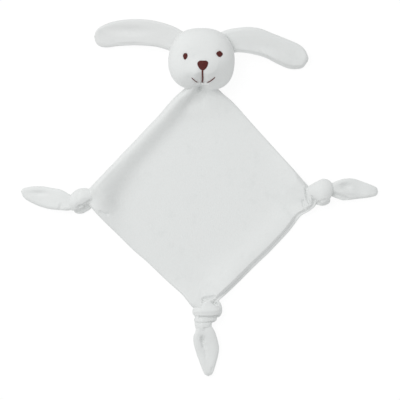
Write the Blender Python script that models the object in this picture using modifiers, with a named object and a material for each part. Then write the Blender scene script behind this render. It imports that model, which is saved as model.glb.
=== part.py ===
"""Rabbit comforter: a stuffed rabbit's head on a two-layer blanket whose other corners are knotted.

It lies on its back on a table, face up. The origin is the middle of the blanket, on the table.
+Y runs from the blanket to the head, +X to the right seen from above, and +Z up. Lengths are in metres.
"""

import math
from collections import namedtuple

import bmesh
import bpy
from mathutils import Matrix, Vector

MM = 0.001

# Clearances and the cloth
GAP = 0.3 * MM
SKIN = 1.8 * MM
RIM = 0.9 * MM
TABLE_CUT = 0.5 * MM
CUT_OVERRUN = 6 * MM
CUTTER_SIDES = 32
CREASE_ANGLE = math.radians(50)

# Head
HEAD_X = 0.6 * MM
HEAD_WIDTH = 66.6 * MM
HEAD_HEIGHT = 60.8 * MM
FACE_DEPTH = 26 * MM
BACK_DEPTH = 22.5 * MM
CROWN_SQUARENESS = 2.15
JAW_SQUARENESS = 2.6
DEPTH_SQUARENESS = 2.3
CHIN_NOTCH_DEPTH = 3.2 * MM
CHIN_NOTCH_HALF_WIDTH = 9 * MM
CHIN_STEPS = 4
MUZZLE_RISE = 1.6 * MM
MUZZLE_DROP = 12 * MM
MUZZLE_RADIUS = 17 * MM
HEAD_SEGMENTS = 28
HEAD_RINGS = 14
FILLING_SEGMENTS = 20
FILLING_RINGS = 10
FILLING_CLEARANCE = 0.8 * MM

# Embroidery on the face
THREAD_RISE = 0.9 * MM
EYE_SPACING = 34.4 * MM
EYE_RISE = 3.4 * MM
EYE_TILT = math.radians(3.8)
LEFT_EYE_WIDTH = 5.0 * MM
LEFT_EYE_HEIGHT = 7.2 * MM
RIGHT_EYE_WIDTH = 6.6 * MM
RIGHT_EYE_HEIGHT = 6.6 * MM
EYE_POINT_SHARE = 0.12
NOSE_X = 1.2 * MM
NOSE_DROP = 6.4 * MM
NOSE_WIDTH = 10.4 * MM
NOSE_HEIGHT = 9.6 * MM
NOSE_POINT_SHARE = 0.42
LINE_RADIUS = 0.75 * MM
LIP_LENGTH = 11.6 * MM
SMILE_HALF_WIDTH = 11.3 * MM
SMILE_INNER_HALF_WIDTH = 5.0 * MM
SMILE_TOP_DROP = 18.4 * MM
SMILE_DEPTH = 5.0 * MM
SMILE_POWER = 1.5
LINE_POINTS = 7
EYE_LINE_SHARES = (-1, -0.5, 0, 0.5, 1)
NOSE_LINE_SHARES = (-1, -0.66, -0.33, 0, 0.33, 0.66, 1)

# Ears
EAR_HALF_THICKNESS = 2.1 * MM
EAR_DROP_SHARE = 0.5
EAR_CURL = 1.6 * MM
EAR_ROOT_FOLLOW_SHARE = 0.8
EAR_WIDEST_SHARE = 0.42
EAR_TIP_SHARE = 0.74
EAR_END_SHARE = 0.24
EAR_END_POWER = 2.4
EAR_LINE_SHARES = (0, 0.012, 0.04, 0.12, 0.24, 0.38, 0.52, 0.65, 0.76, 0.85, 0.915, 0.96, 0.988, 1)
CROSS_LINE_SHARES = (-1, -0.86, -0.5, 0, 0.5, 0.86, 1)
Ear = namedtuple("Ear", "side angle length width root_width heading turn")
LEFT_EAR = Ear(
    side="left",
    angle=math.radians(146),
    length=81 * MM,
    width=26 * MM,
    root_width=19 * MM,
    heading=math.radians(160),
    turn=math.radians(38),
)
RIGHT_EAR = Ear(
    side="right",
    angle=math.radians(31),
    length=81 * MM,
    width=24 * MM,
    root_width=21.5 * MM,
    heading=math.radians(6),
    turn=math.radians(-42),
)

# Blanket
LAYER_HALF_STACK = 2.0 * MM
REACH_TOP = 127 * MM
REACH_LEFT = 119 * MM
REACH_BOTTOM = 118 * MM
REACH_RIGHT = 117 * MM
RIGHT_RISE = 3 * MM
CORNER_FADE = 36 * MM
ROLL_RISE = 1.2 * MM
ROLL_INSET = 4.5 * MM
ROLL_WIDTH = 6 * MM
TURNED_ROLL_RISE = 3.4 * MM
TURNED_ROLL_INSET = 7 * MM
TURNED_ROLL_WIDTH = 9 * MM
CLOTH_LINE_INSETS = (0, 1.8 * MM, 5 * MM, 9.4 * MM, 14.6 * MM, 22 * MM, 34 * MM, 54 * MM)

# Neck, where the blanket's top corner is gathered to the chin
NECK_HALF_WIDTH = 17.6 * MM
NECK_HALF_THICKNESS = 2.4 * MM
NECK_FALL = 34 * MM
NECK_ARCH_POWER = 2.2
TUCK_LENGTH = 12 * MM
NECK_CLEARANCE = 0.7 * MM
CAPE_TUCK = 1.6 * MM
CAPE_TUCK_POWER = 2.5
CAPE_SET_BACK = 4.6 * MM
PLEAT_DEPTH = 2.0 * MM
PLEAT_X = -5 * MM
PLEAT_HALF_WIDTH = 6 * MM
PLEAT_HALF_LENGTH = 8.5 * MM

# Knotted corners
THROAT_HALF_THICKNESS = 5.2 * MM
THROAT_FALL = 24 * MM
BUNCH_LENGTH = 20 * MM
KNOT_BITE = 2.0 * MM
TIP_BITE = 0.9 * MM
KNOT_STRAND_RADIUS = 5.8 * MM
KNOT_HEIGHT = 18.5 * MM
KNOT_ENTRY_SHARE = 1.6
KNOT_EXIT_SHARE = 1.35
KNOT_CORE_SHARE = 0.74
KNOT_VOXEL = 1.8 * MM
KNOT_SMOOTHING_ROUNDS = 2
KNOT_KEPT_SHARE = 0.38
# Half of an overhand knot, from its middle to its exit, as shares of its half length, width and height.
# The other half is this one turned half round about the knot's Y axis.
KNOT_PATH_SHARES = (
    (0.0, 1.0, 0.0),
    (-0.75, 0.8, 0.6),
    (-1.0, -0.1, 1.0),
    (-0.62, -0.92, 0.25),
    (0.0, -0.98, -0.95),
    (0.62, -0.55, -0.2),
    (0.98, -0.05, 0.95),
    (1.75, 0.0, 0.15),
)
TIP_ROOT_HALF_THICKNESS = 4.0 * MM
TIP_HALF_THICKNESS = 2.8 * MM
TIP_CURL = 1.8 * MM
TIP_GROOVE = 1.9 * MM
TIP_WIDEST_SHARE = 0.42
TIP_LAY_SHARE = 0.4
TIP_GROOVE_SHARE = 0.34
TIP_GROOVE_LENGTH_SHARE = 0.3
TIP_GROOVE_REACH_SHARE = 0.6
TIP_NARROWING_POWER = 2.2
TIP_END_POWER = 6
TIP_BLUNT_SHARE = 0.5
TIP_LINE_SHARES = (0, 0.02, 0.06, 0.13, 0.24, 0.38, 0.52, 0.66, 0.8, 0.92, 1)
Corner = namedtuple("Corner", "reach set_back drift heading half_width")
Knotted = namedtuple(
    "Knotted",
    "side corner heading length width tip_heading tip_length tip_width root_share end_share",
)
TOP = Corner(
    reach=Vector((0, REACH_TOP)),
    set_back=15.4 * MM,
    drift=0,
    heading=math.radians(90),
    half_width=NECK_HALF_WIDTH,
)
LEFT = Knotted(
    side="left",
    corner=Corner(
        reach=Vector((-REACH_LEFT, 0)),
        set_back=8.5 * MM,
        drift=1.5 * MM,
        heading=math.radians(180),
        half_width=11 * MM,
    ),
    heading=math.radians(184),
    length=26.5 * MM,
    width=26 * MM,
    tip_heading=math.radians(166),
    tip_length=47 * MM,
    tip_width=22 * MM,
    root_share=0.66,
    end_share=0.34,
)
RIGHT = Knotted(
    side="right",
    corner=Corner(
        reach=Vector((REACH_RIGHT, RIGHT_RISE)),
        set_back=11.5 * MM,
        drift=0,
        heading=math.radians(15),
        half_width=13 * MM,
    ),
    heading=math.radians(17),
    length=27.5 * MM,
    width=27 * MM,
    tip_heading=math.radians(-4),
    tip_length=47 * MM,
    tip_width=22 * MM,
    root_share=0.6,
    end_share=0.4,
)
BOTTOM = Knotted(
    side="bottom",
    corner=Corner(
        reach=Vector((0, -REACH_BOTTOM)),
        set_back=13 * MM,
        drift=5 * MM,
        heading=math.radians(-90),
        half_width=13 * MM,
    ),
    heading=math.radians(-93),
    length=28 * MM,
    width=28 * MM,
    tip_heading=math.radians(-84),
    tip_length=48 * MM,
    tip_width=23.5 * MM,
    root_share=0.7,
    end_share=0.36,
)
KNOTTED = (LEFT, RIGHT, BOTTOM)

# Places worked out from the sizes above
SEAM_HEIGHT = BACK_DEPTH - TABLE_CUT
NECK_Y = REACH_TOP - TOP.set_back
HEAD_Y = NECK_Y + NECK_CLEARANCE + HEAD_HEIGHT / 2 - CHIN_NOTCH_DEPTH
NECK_LIFT = SEAM_HEIGHT - NECK_HALF_THICKNESS - LAYER_HALF_STACK
KNOT_MIDDLE_HEIGHT = KNOT_HEIGHT / 2 - TABLE_CUT
THROAT_LIFT = KNOT_MIDDLE_HEIGHT - LAYER_HALF_STACK


def clear_scene():
    for item in list(bpy.data.objects):
        bpy.data.objects.remove(item)


def make_collection(name):
    made = bpy.data.collections.new(name)
    bpy.context.scene.collection.children.link(made)
    return made


def make_material(name, color, roughness, sheen=0.0):
    material = bpy.data.materials.new(name)
    material.use_nodes = True
    shader = material.node_tree.nodes["Principled BSDF"]
    shader.inputs["Base Color"].default_value = (*color, 1)
    shader.inputs["Roughness"].default_value = roughness
    shader.inputs["Sheen Weight"].default_value = sheen
    return material


def smoothstep(share):
    share = min(max(share, 0), 1)
    return share * share * (3 - 2 * share)


def hump(distance, reach):
    """1 at distance 0, falling smoothly to exactly 0 at reach."""
    share = min(abs(distance) / reach, 1)
    return (1 - share * share) ** 2


def rounded(distance, half_thickness, rim):
    """Half thickness of a layer with a round edge, this far in from its outline."""
    share = 1 - min(max(distance, 0) / half_thickness, 1)
    return max(half_thickness * math.sqrt(1 - share * share), rim)


def direction(heading):
    return Vector((math.cos(heading), math.sin(heading)))


def sideways(heading):
    return Vector((-math.sin(heading), math.cos(heading)))


def make_pivot(name, place, parent=None):
    """An empty on a joint's axis, which carries the pieces that turn about it."""
    pivot = bpy.data.objects.new(name, None)
    pivot.empty_display_size = EAR_HALF_THICKNESS
    PIECES.objects.link(pivot)
    pivot.location = place - (Vector(parent["place"]) if parent else Vector())
    pivot.parent = parent
    pivot["place"] = place
    return pivot


def add_piece(name, mesh, material, pivot=None):
    mesh.materials.clear()
    mesh.materials.append(material)
    mesh.shade_smooth()
    mesh.set_sharp_from_angle(angle=CREASE_ANGLE)
    piece = bpy.data.objects.new(name, mesh)
    PIECES.objects.link(piece)
    if pivot:
        mesh.transform(Matrix.Translation(-Vector(pivot["place"])))
        piece.parent = pivot
    return piece


def close_layer(name, surface, read, outer, inner):
    """Extrudes an open surface into a closed layer, and places both of its faces by functions."""
    bmesh.ops.triangulate(surface, faces=surface.faces[:], quad_method="FIXED")
    base = surface.verts[:]
    grown = bmesh.ops.extrude_face_region(surface, geom=surface.faces[:])
    lifted = [item for item in grown["geom"] if isinstance(item, bmesh.types.BMVert)]
    for vert in lifted:
        vert.co = outer(*read(vert.co))
    for vert in base:
        vert.co = inner(*read(vert.co))
    bmesh.ops.recalc_face_normals(surface, faces=surface.faces[:])
    mesh = bpy.data.meshes.new(name)
    surface.to_mesh(mesh)
    surface.free()
    return mesh


def grid_layer(name, along, across, outer, inner):
    """A closed layer on a grid whose lines lie at the values in along and across."""
    surface = bmesh.new()
    cells_along = len(along) - 1
    cells_across = len(across) - 1
    bmesh.ops.create_grid(surface, x_segments=cells_along, y_segments=cells_across, size=1)

    def read(place):
        column = round((place.x + 1) / 2 * cells_along)
        row = round((place.y + 1) / 2 * cells_across)
        return along[column], across[row]

    return close_layer(name, surface, read, outer, inner)


# Head

def head_outline(angle):
    """Radius of the head's seam outline at this angle from +X, before the muzzle."""
    lowness = smoothstep((1 - math.sin(angle)) / 2)
    power = CROWN_SQUARENESS + (JAW_SQUARENESS - CROWN_SQUARENESS) * lowness
    across = abs(math.cos(angle)) / (HEAD_WIDTH / 2)
    up = abs(math.sin(angle)) / (HEAD_HEIGHT / 2)
    radius = (across**power + up**power) ** (-1 / power)
    from_chin = radius * math.cos(angle)
    if math.sin(angle) < 0:
        radius -= CHIN_NOTCH_DEPTH * hump(from_chin, CHIN_NOTCH_HALF_WIDTH)
    return radius


def head_point(angle, share_out, depth, inset, above):
    """A point on the head's skin, inset inwards. share_out is 0 at the pole and 1 at the seam."""
    radius = (head_outline(angle) - inset) * share_out
    height = (depth - inset) * (1 - share_out**DEPTH_SQUARENESS) ** (1 / DEPTH_SQUARENESS)
    x = radius * math.cos(angle)
    y = radius * math.sin(angle)
    if above:
        height += MUZZLE_RISE * hump(math.hypot(x, y + MUZZLE_DROP), MUZZLE_RADIUS)
    side = 1 if above else -1
    return Vector((HEAD_X + x, HEAD_Y + y, SEAM_HEIGHT + side * height))


def head_read(place):
    latitude = math.acos(min(1, abs(place.z)))
    share_out = math.sin(latitude) ** (2 / DEPTH_SQUARENESS)
    return math.atan2(place.y, place.x), min(share_out, 1)


def half_head(name, above):
    """One skin panel of the head: half of a sphere's surface, shaped and given its thickness."""
    depth = FACE_DEPTH if above else BACK_DEPTH
    side = 1 if above else -1
    surface = bmesh.new()
    bmesh.ops.create_uvsphere(surface, u_segments=HEAD_SEGMENTS, v_segments=HEAD_RINGS, radius=1)
    other = [face for face in surface.faces if face.calc_center_median().z * side < 0]
    bmesh.ops.delete(surface, geom=other, context="FACES")
    seam_gap = Vector((0, 0, side * GAP / 2))

    def outer(angle, share_out):
        point = head_point(angle, share_out, depth, 0, above) + seam_gap
        point.z = max(point.z, 0)
        return point

    def inner(angle, share_out):
        return head_point(angle, share_out, depth, SKIN, above) + seam_gap

    return close_layer(name, surface, head_read, outer, inner)


def head_filling(name):
    surface = bmesh.new()
    bmesh.ops.create_uvsphere(surface, u_segments=FILLING_SEGMENTS, v_segments=FILLING_RINGS, radius=1)
    for vert in surface.verts:
        above = vert.co.z >= 0
        depth = FACE_DEPTH if above else BACK_DEPTH
        angle, share_out = head_read(vert.co)
        vert.co = head_point(angle, share_out, depth, SKIN + FILLING_CLEARANCE, above)
    bmesh.ops.recalc_face_normals(surface, faces=surface.faces[:])
    mesh = bpy.data.meshes.new(name)
    surface.to_mesh(mesh)
    surface.free()
    return mesh


def face_height(x, y):
    """Height of the face's skin over a point given from the head's middle."""
    angle = math.atan2(y, x)
    share_out = min(math.hypot(x, y) / head_outline(angle), 1)
    return head_point(angle, share_out, FACE_DEPTH, 0, True).z + GAP / 2


def on_face(x, y, rise):
    """A point this far above the skin, square to it."""
    step = LINE_RADIUS
    slope_x = (face_height(x + step, y) - face_height(x - step, y)) / (2 * step)
    slope_y = (face_height(x, y + step) - face_height(x, y - step)) / (2 * step)
    normal = Vector((-slope_x, -slope_y, 1)).normalized()
    return Vector((HEAD_X + x, HEAD_Y + y, face_height(x, y))) + normal * rise


def stitched_patch(name, x, y, width, height, tilt, point_share, lines):
    """A satin-stitched patch laid on the face. point_share narrows its lower end."""

    def place(across, up, crowned_rise):
        out_x = across * math.sqrt(1 - up * up / 2)
        out_y = up * math.sqrt(1 - across * across / 2)
        out_x *= 1 + point_share * out_y
        flat_x = out_x * width / 2
        flat_y = out_y * height / 2
        turned_x = flat_x * math.cos(tilt) - flat_y * math.sin(tilt)
        turned_y = flat_x * math.sin(tilt) + flat_y * math.cos(tilt)
        crown = 1 - max(across * across, up * up) / 2
        return on_face(x + turned_x, y + turned_y, GAP + crowned_rise * crown)

    return grid_layer(
        name,
        lines,
        lines,
        lambda across, up: place(across, up, THREAD_RISE),
        lambda across, up: place(across, up, 0),
    )


def stitched_line(name, points):
    """A line of thread on the face, as a tube through these points."""
    curve = bpy.data.curves.new(name, "CURVE")
    curve.dimensions = "3D"
    curve.bevel_depth = LINE_RADIUS
    curve.bevel_resolution = 1
    curve.use_fill_caps = True
    spline = curve.splines.new("POLY")
    spline.points.add(len(points) - 1)
    for slot, (x, y) in zip(spline.points, points):
        slot.co = (*on_face(x, y, GAP + LINE_RADIUS), 1)
    return curve_mesh(name, curve)


def curve_mesh(name, curve):
    """The solid of a curve as a mesh, with its caps joined to its sides."""
    holder = bpy.data.objects.new(name + "_curve", curve)
    bpy.context.scene.collection.objects.link(holder)
    graph = bpy.context.evaluated_depsgraph_get()
    mesh = bpy.data.meshes.new_from_object(holder.evaluated_get(graph))
    bpy.data.objects.remove(holder)
    solid = bmesh.new()
    solid.from_mesh(mesh)
    bmesh.ops.remove_doubles(solid, verts=solid.verts[:], dist=GAP / 10)
    bmesh.ops.recalc_face_normals(solid, faces=solid.faces[:])
    solid.to_mesh(mesh)
    solid.free()
    return mesh


def smile_points(side):
    points = []
    for index in range(LINE_POINTS):
        share = index / (LINE_POINTS - 1)
        out = SMILE_INNER_HALF_WIDTH + (SMILE_HALF_WIDTH - SMILE_INNER_HALF_WIDTH) * share
        drop = SMILE_TOP_DROP + SMILE_DEPTH * (1 - share**SMILE_POWER)
        points.append((NOSE_X + side * out, -drop))
    return points


def build_head(pivot):
    add_piece("head_front_panel", half_head("head_front_panel", True), VELOUR, pivot)
    add_piece("head_back_panel", half_head("head_back_panel", False), VELOUR, pivot)
    add_piece("head_filling", head_filling("head_filling"), FIBRE, pivot)
    eyes = (("left", -1, LEFT_EYE_WIDTH, LEFT_EYE_HEIGHT), ("right", 1, RIGHT_EYE_WIDTH, RIGHT_EYE_HEIGHT))
    for side, sign, width, height in eyes:
        x = sign * EYE_SPACING / 2 * math.cos(EYE_TILT) + HEAD_X / 2
        y = sign * EYE_SPACING / 2 * math.sin(EYE_TILT) + EYE_RISE
        name = f"eye_{side}"
        eye = stitched_patch(name, x, y, width, height, EYE_TILT, EYE_POINT_SHARE, EYE_LINE_SHARES)
        add_piece(name, eye, BROWN_THREAD, pivot)
    nose_size = (NOSE_WIDTH, NOSE_HEIGHT)
    nose = stitched_patch("nose", NOSE_X, -NOSE_DROP, *nose_size, 0, NOSE_POINT_SHARE, NOSE_LINE_SHARES)
    add_piece("nose", nose, BROWN_THREAD, pivot)
    lip_top = NOSE_DROP + NOSE_HEIGHT / 2 + LINE_RADIUS + 2 * GAP
    lip = [(NOSE_X, -lip_top - LIP_LENGTH * index / (LINE_POINTS - 1)) for index in range(LINE_POINTS)]
    add_piece("lip_line", stitched_line("lip_line", lip), BROWN_THREAD, pivot)
    for side, sign in (("left", -1), ("right", 1)):
        name = f"smile_{side}"
        add_piece(name, stitched_line(name, smile_points(sign)), BROWN_THREAD, pivot)


# Ears

def outline_point(angle):
    return direction(angle) * head_outline(angle)


def outline_tangent(angle):
    step = math.radians(1)
    return (outline_point(angle + step) - outline_point(angle - step)).normalized()


def ear_frame(ear):
    """Where an ear's hinge lies: its middle, the way out of the head and the way along the seam."""
    tangent = outline_tangent(ear.angle)
    out = Vector((tangent.y, -tangent.x))
    middle = Vector((HEAD_X, HEAD_Y)) + outline_point(ear.angle) + out * (GAP + EAR_HALF_THICKNESS)
    return middle, out, tangent


def ear_half_width(ear, share):
    grown = smoothstep(share / EAR_WIDEST_SHARE)
    half = (ear.root_width + (ear.width - ear.root_width) * grown) / 2
    if share > EAR_TIP_SHARE:
        late = (share - EAR_TIP_SHARE) / (1 - EAR_TIP_SHARE)
        half *= max(math.sqrt(1 - late**EAR_END_POWER), EAR_END_SHARE)
    return half


def ear_middle(ear, share, across):
    """(point, half thickness) at the middle of an ear's two layers. across runs from -1 to 1."""
    hinge, out, tangent = ear_frame(ear)
    heading = ear.heading + ear.turn * share
    run = ear.length / ear.turn
    plan = hinge - out * EAR_HALF_THICKNESS
    plan = plan + run * (sideways(ear.heading) - sideways(heading))
    squared = smoothstep(share / EAR_WIDEST_SHARE)
    lateral = (tangent * (1 - squared) + sideways(heading) * squared).normalized()
    half_width = ear_half_width(ear, share)
    offset = across * half_width
    sag = EAR_ROOT_FOLLOW_SHARE * offset * offset / (2 * head_outline(ear.angle))
    plan = plan + lateral * offset - out * sag * hump(share, EAR_WIDEST_SHARE)
    from_root = share * ear.length
    half = rounded((1 - abs(across)) * half_width, EAR_HALF_THICKNESS, RIM)
    half = min(half, rounded(from_root, EAR_HALF_THICKNESS, RIM))
    half = min(half, rounded((1 - share) * ear.length, EAR_HALF_THICKNESS, RIM))
    down = smoothstep((from_root - EAR_HALF_THICKNESS) / (EAR_DROP_SHARE * ear.length))
    lying = EAR_HALF_THICKNESS - TABLE_CUT
    height = SEAM_HEIGHT + (lying - SEAM_HEIGHT) * down
    height += EAR_CURL * across * across * smoothstep(share / EAR_DROP_SHARE)
    return Vector((plan.x, plan.y, height)), half


def build_ear(ear, parent):
    hinge, out, tangent = ear_frame(ear)
    pivot = make_pivot(f"ear_{ear.side}_pivot", Vector((hinge.x, hinge.y, SEAM_HEIGHT)), parent)
    layers = (("front", 1), ("back", -1))
    for layer, side in layers:
        name = f"ear_{ear.side}_{layer}_panel"

        def outer(share, across):
            point, half = ear_middle(ear, share, across)
            return Vector((point.x, point.y, max(point.z + side * half, 0)))

        def inner(share, across):
            point, half = ear_middle(ear, share, across)
            return point + Vector((0, 0, side * GAP / 2))

        add_piece(name, grid_layer(name, EAR_LINE_SHARES, CROSS_LINE_SHARES, outer, inner), VELOUR, pivot)


# Blanket

def throat_of(corner):
    """The middle of the gathered end of a blanket's corner."""
    along = direction(corner.heading)
    return corner.reach - along * corner.set_back + sideways(corner.heading) * corner.drift


def chin_follow(x):
    """How far the head's chin lies in front of its notch at this x. The blanket's gathered end follows it."""
    from_middle = x - HEAD_X
    angle = math.atan2(-HEAD_HEIGHT / 2, from_middle)
    for _ in range(CHIN_STEPS):
        angle = math.atan2(-math.sqrt(max(head_outline(angle) ** 2 - from_middle**2, 0)), from_middle)
    return HEAD_HEIGHT / 2 - CHIN_NOTCH_DEPTH + head_outline(angle) * math.sin(angle)


def gather(corner, flat):
    """Draws a flat point in towards a corner's gathered end, which cuts the corner off square.
    Returns the shift, and where the point then is: its distance in from the end and sideways."""
    along = direction(corner.heading)
    across = sideways(corner.heading)
    offset = flat - corner.reach
    back = max(-offset.dot(along), 0)
    aside = offset.dot(across)
    inset = max(back - abs(aside), 0)
    beyond = back - corner.half_width
    new_back = (math.hypot(beyond, inset) + beyond) / 2
    target = throat_of(corner) - along * new_back + across * aside
    shift = (target - flat) * (1 - smoothstep(beyond / CORNER_FADE))
    return shift, new_back, aside


def cloth_point(u_inset, v_inset):
    """(plan point, height of the middle, half thickness, roll) of the blanket's two layers.
    Each argument is a share across the blanket and the distance in from the nearer edge."""
    u, u_edge = u_inset
    v, v_edge = v_inset
    top, left = TOP.reach, LEFT.corner.reach
    right, bottom = RIGHT.corner.reach, BOTTOM.corner.reach
    flat = top * (u * v) + left * ((1 - u) * v) + right * (u * (1 - v)) + bottom * ((1 - u) * (1 - v))
    plan = flat.copy()
    end = math.inf
    thickness = LAYER_HALF_STACK
    lift = 0
    for corner in (TOP, LEFT.corner, RIGHT.corner, BOTTOM.corner):
        shift, back, aside = gather(corner, flat)
        plan += shift
        end = min(end, back)
        if corner is TOP:
            arch = max(1 - (aside / (corner.half_width + back)) ** 2, 0) ** NECK_ARCH_POWER
            tuck = CAPE_TUCK * (1 - arch) ** CAPE_TUCK_POWER - CAPE_SET_BACK * arch * (1 - arch)
            plan.y += (chin_follow(plan.x) + tuck) * hump(back, TUCK_LENGTH)
            lift += NECK_LIFT * arch * hump(back, NECK_FALL)
            pleat = hump(aside - PLEAT_X, PLEAT_HALF_WIDTH)
            lift -= PLEAT_DEPTH * pleat * hump(back - PLEAT_HALF_LENGTH, PLEAT_HALF_LENGTH)
            thickness += (NECK_HALF_THICKNESS - LAYER_HALF_STACK) * hump(back, BUNCH_LENGTH)
        else:
            level = max(back - THROAT_HALF_THICKNESS, 0)
            lift += THROAT_LIFT * hump(level, THROAT_FALL)
            thickness += (THROAT_HALF_THICKNESS - LAYER_HALF_STACK) * hump(level, BUNCH_LENGTH)
    edge = min(u_edge, v_edge, end)
    half = rounded(edge, thickness, RIM)
    roll = ROLL_RISE * hump(edge - ROLL_INSET, ROLL_WIDTH)
    turned = TURNED_ROLL_RISE * hump(v_edge - TURNED_ROLL_INSET, TURNED_ROLL_WIDTH) * smoothstep(2 * v - 1)
    clear_of_ends = smoothstep(end / THROAT_FALL)
    roll = max(roll, turned * smoothstep(end / BUNCH_LENGTH)) * clear_of_ends
    roll *= smoothstep(edge / RIM)
    return plan, LAYER_HALF_STACK + lift, half, roll


def cloth_lines(first_reach, second_reach):
    """Grid lines over one side of the blanket, close together near both edges: (share, distance in)."""
    side = (first_reach - second_reach).length
    near = [(inset / side, inset) for inset in CLOTH_LINE_INSETS]
    middle = [(0.5, side / 2)]
    far = [(1 - share, inset) for share, inset in reversed(near)]
    return near + middle + far


def build_blanket():
    u_lines = cloth_lines(LEFT.corner.reach, TOP.reach)
    v_lines = cloth_lines(RIGHT.corner.reach, TOP.reach)

    def front_outer(u, v):
        plan, middle, half, roll = cloth_point(u, v)
        return Vector((plan.x, plan.y, middle + half + roll))

    def front_inner(u, v):
        plan, middle, half, roll = cloth_point(u, v)
        return Vector((plan.x, plan.y, middle + GAP / 2))

    def back_outer(u, v):
        plan, middle, half, roll = cloth_point(u, v)
        return Vector((plan.x, plan.y, max(middle - half, 0)))

    def back_inner(u, v):
        plan, middle, half, roll = cloth_point(u, v)
        return Vector((plan.x, plan.y, middle - GAP / 2))

    front = grid_layer("blanket_front_panel", u_lines, v_lines, front_outer, front_inner)
    back = grid_layer("blanket_back_panel", u_lines, v_lines, back_outer, back_inner)
    add_piece("blanket_front_panel", front, VELOUR)
    add_piece("blanket_back_panel", back, VELOUR)


# Knots and the loose tips beyond them

def make_cutter(name, middle, axis, radius, length):
    """A cylinder that clears the round end of the piece that turns in it."""
    shape = bmesh.new()
    bmesh.ops.create_cone(
        shape, cap_ends=True, segments=CUTTER_SIDES, radius1=radius, radius2=radius, depth=length
    )
    mesh = bpy.data.meshes.new(name)
    shape.to_mesh(mesh)
    shape.free()
    cutter = bpy.data.objects.new(name, mesh)
    CUTTERS.objects.link(cutter)
    cutter.matrix_world = Matrix.Translation(middle) @ axis.to_track_quat("Z", "Y").to_matrix().to_4x4()
    cutter.hide_render = True
    cutter.display_type = "WIRE"
    return cutter


def knot_path(knotted):
    """Points of an overhand knot from its entry to its exit, about its own middle."""
    half_length = knotted.length / 2 - KNOT_STRAND_RADIUS
    half_width = knotted.width / 2 - KNOT_STRAND_RADIUS
    half_height = KNOT_HEIGHT / 2 - KNOT_STRAND_RADIUS
    out = [Vector((x * half_length, y * half_width, z * half_height)) for x, y, z in KNOT_PATH_SHARES]
    into = [Vector((-point.x, point.y, -point.z)) for point in reversed(out[1:])]
    return into + out


def knot_body(name, knotted):
    """A fat strand along the knot's path, pressed into one body where its passes meet."""
    points = knot_path(knotted)
    curve = bpy.data.curves.new(name, "CURVE")
    curve.dimensions = "3D"
    curve.bevel_depth = KNOT_STRAND_RADIUS
    curve.bevel_resolution = 3
    curve.use_fill_caps = True
    spline = curve.splines.new("BEZIER")
    spline.bezier_points.add(len(points) - 1)
    for slot, point in zip(spline.bezier_points, points):
        slot.co = point
        slot.handle_left_type = slot.handle_right_type = "AUTO"
    spline.bezier_points[0].radius = KNOT_ENTRY_SHARE
    spline.bezier_points[-1].radius = KNOT_EXIT_SHARE
    size = Vector((knotted.length, knotted.width, KNOT_HEIGHT))
    wound = bmesh.new()
    wound.from_mesh(curve_mesh(name, curve))
    core = Matrix.Diagonal((*(size * KNOT_CORE_SHARE / 2), 1))
    bmesh.ops.create_icosphere(wound, subdivisions=2, radius=1, matrix=core)
    mesh = bpy.data.meshes.new(name + "_strand")
    wound.to_mesh(mesh)
    wound.free()
    strand = bpy.data.objects.new(name + "_strand", mesh)
    bpy.context.scene.collection.objects.link(strand)
    press = strand.modifiers.new("press", "REMESH")
    press.mode = "VOXEL"
    press.voxel_size = KNOT_VOXEL
    relax = strand.modifiers.new("relax", "SMOOTH")
    relax.iterations = int(KNOT_SMOOTHING_ROUNDS)
    thin = strand.modifiers.new("thin", "DECIMATE")
    thin.ratio = KNOT_KEPT_SHARE
    graph = bpy.context.evaluated_depsgraph_get()
    mesh = bpy.data.meshes.new_from_object(strand.evaluated_get(graph))
    bpy.data.objects.remove(strand)
    low = Vector([min(vert.co[side] for vert in mesh.vertices) for side in range(3)])
    high = Vector([max(vert.co[side] for vert in mesh.vertices) for side in range(3)])
    for vert in mesh.vertices:
        share = [(vert.co[side] - low[side]) / (high[side] - low[side]) - 0.5 for side in range(3)]
        vert.co = [share[side] * size[side] for side in range(3)]
    return mesh


def build_knot(knotted):
    corner = knotted.corner
    end = throat_of(corner)
    throat_along = direction(corner.heading)
    along = direction(knotted.heading)
    into = end - throat_along * THROAT_HALF_THICKNESS
    middle = end + along * (knotted.length / 2 - KNOT_BITE)
    exit_plan = end + along * (knotted.length - KNOT_BITE - TIP_BITE)
    tip_along = direction(knotted.tip_heading)
    tip_hinge = exit_plan + tip_along * TIP_ROOT_HALF_THICKNESS
    knot_hinge = Vector((into.x, into.y, LAYER_HALF_STACK + THROAT_LIFT))
    tip_hinge = Vector((tip_hinge.x, tip_hinge.y, KNOT_MIDDLE_HEIGHT))
    knot_axis = Vector((*sideways(corner.heading), 0))
    tip_axis = Vector((*sideways(knotted.tip_heading), 0))

    pivot = make_pivot(f"knot_{knotted.side}_pivot", knot_hinge)
    name = f"knot_{knotted.side}"
    mesh = knot_body(name, knotted)
    mesh.transform(Matrix.Rotation(knotted.heading, 4, "Z"))
    mesh.transform(Matrix.Translation((middle.x, middle.y, KNOT_MIDDLE_HEIGHT)))
    for vert in mesh.vertices:
        vert.co.z = max(vert.co.z, 0)
    piece = add_piece(name, mesh, VELOUR, pivot)
    reach = knotted.width + 2 * CUT_OVERRUN
    seats = (
        (f"{name}_throat_cut", knot_hinge, knot_axis, THROAT_HALF_THICKNESS),
        (f"{name}_tip_cut", tip_hinge, tip_axis, TIP_ROOT_HALF_THICKNESS),
    )
    for cut_name, place, axis, half_thickness in seats:
        cut = piece.modifiers.new(cut_name, "BOOLEAN")
        cut.operation = "DIFFERENCE"
        cut.object = make_cutter(cut_name, place, axis, half_thickness + GAP, reach)

    tip_pivot = make_pivot(f"tip_{knotted.side}_pivot", tip_hinge, pivot)
    build_tip(knotted, Vector((exit_plan.x, exit_plan.y)), tip_pivot)


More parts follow.
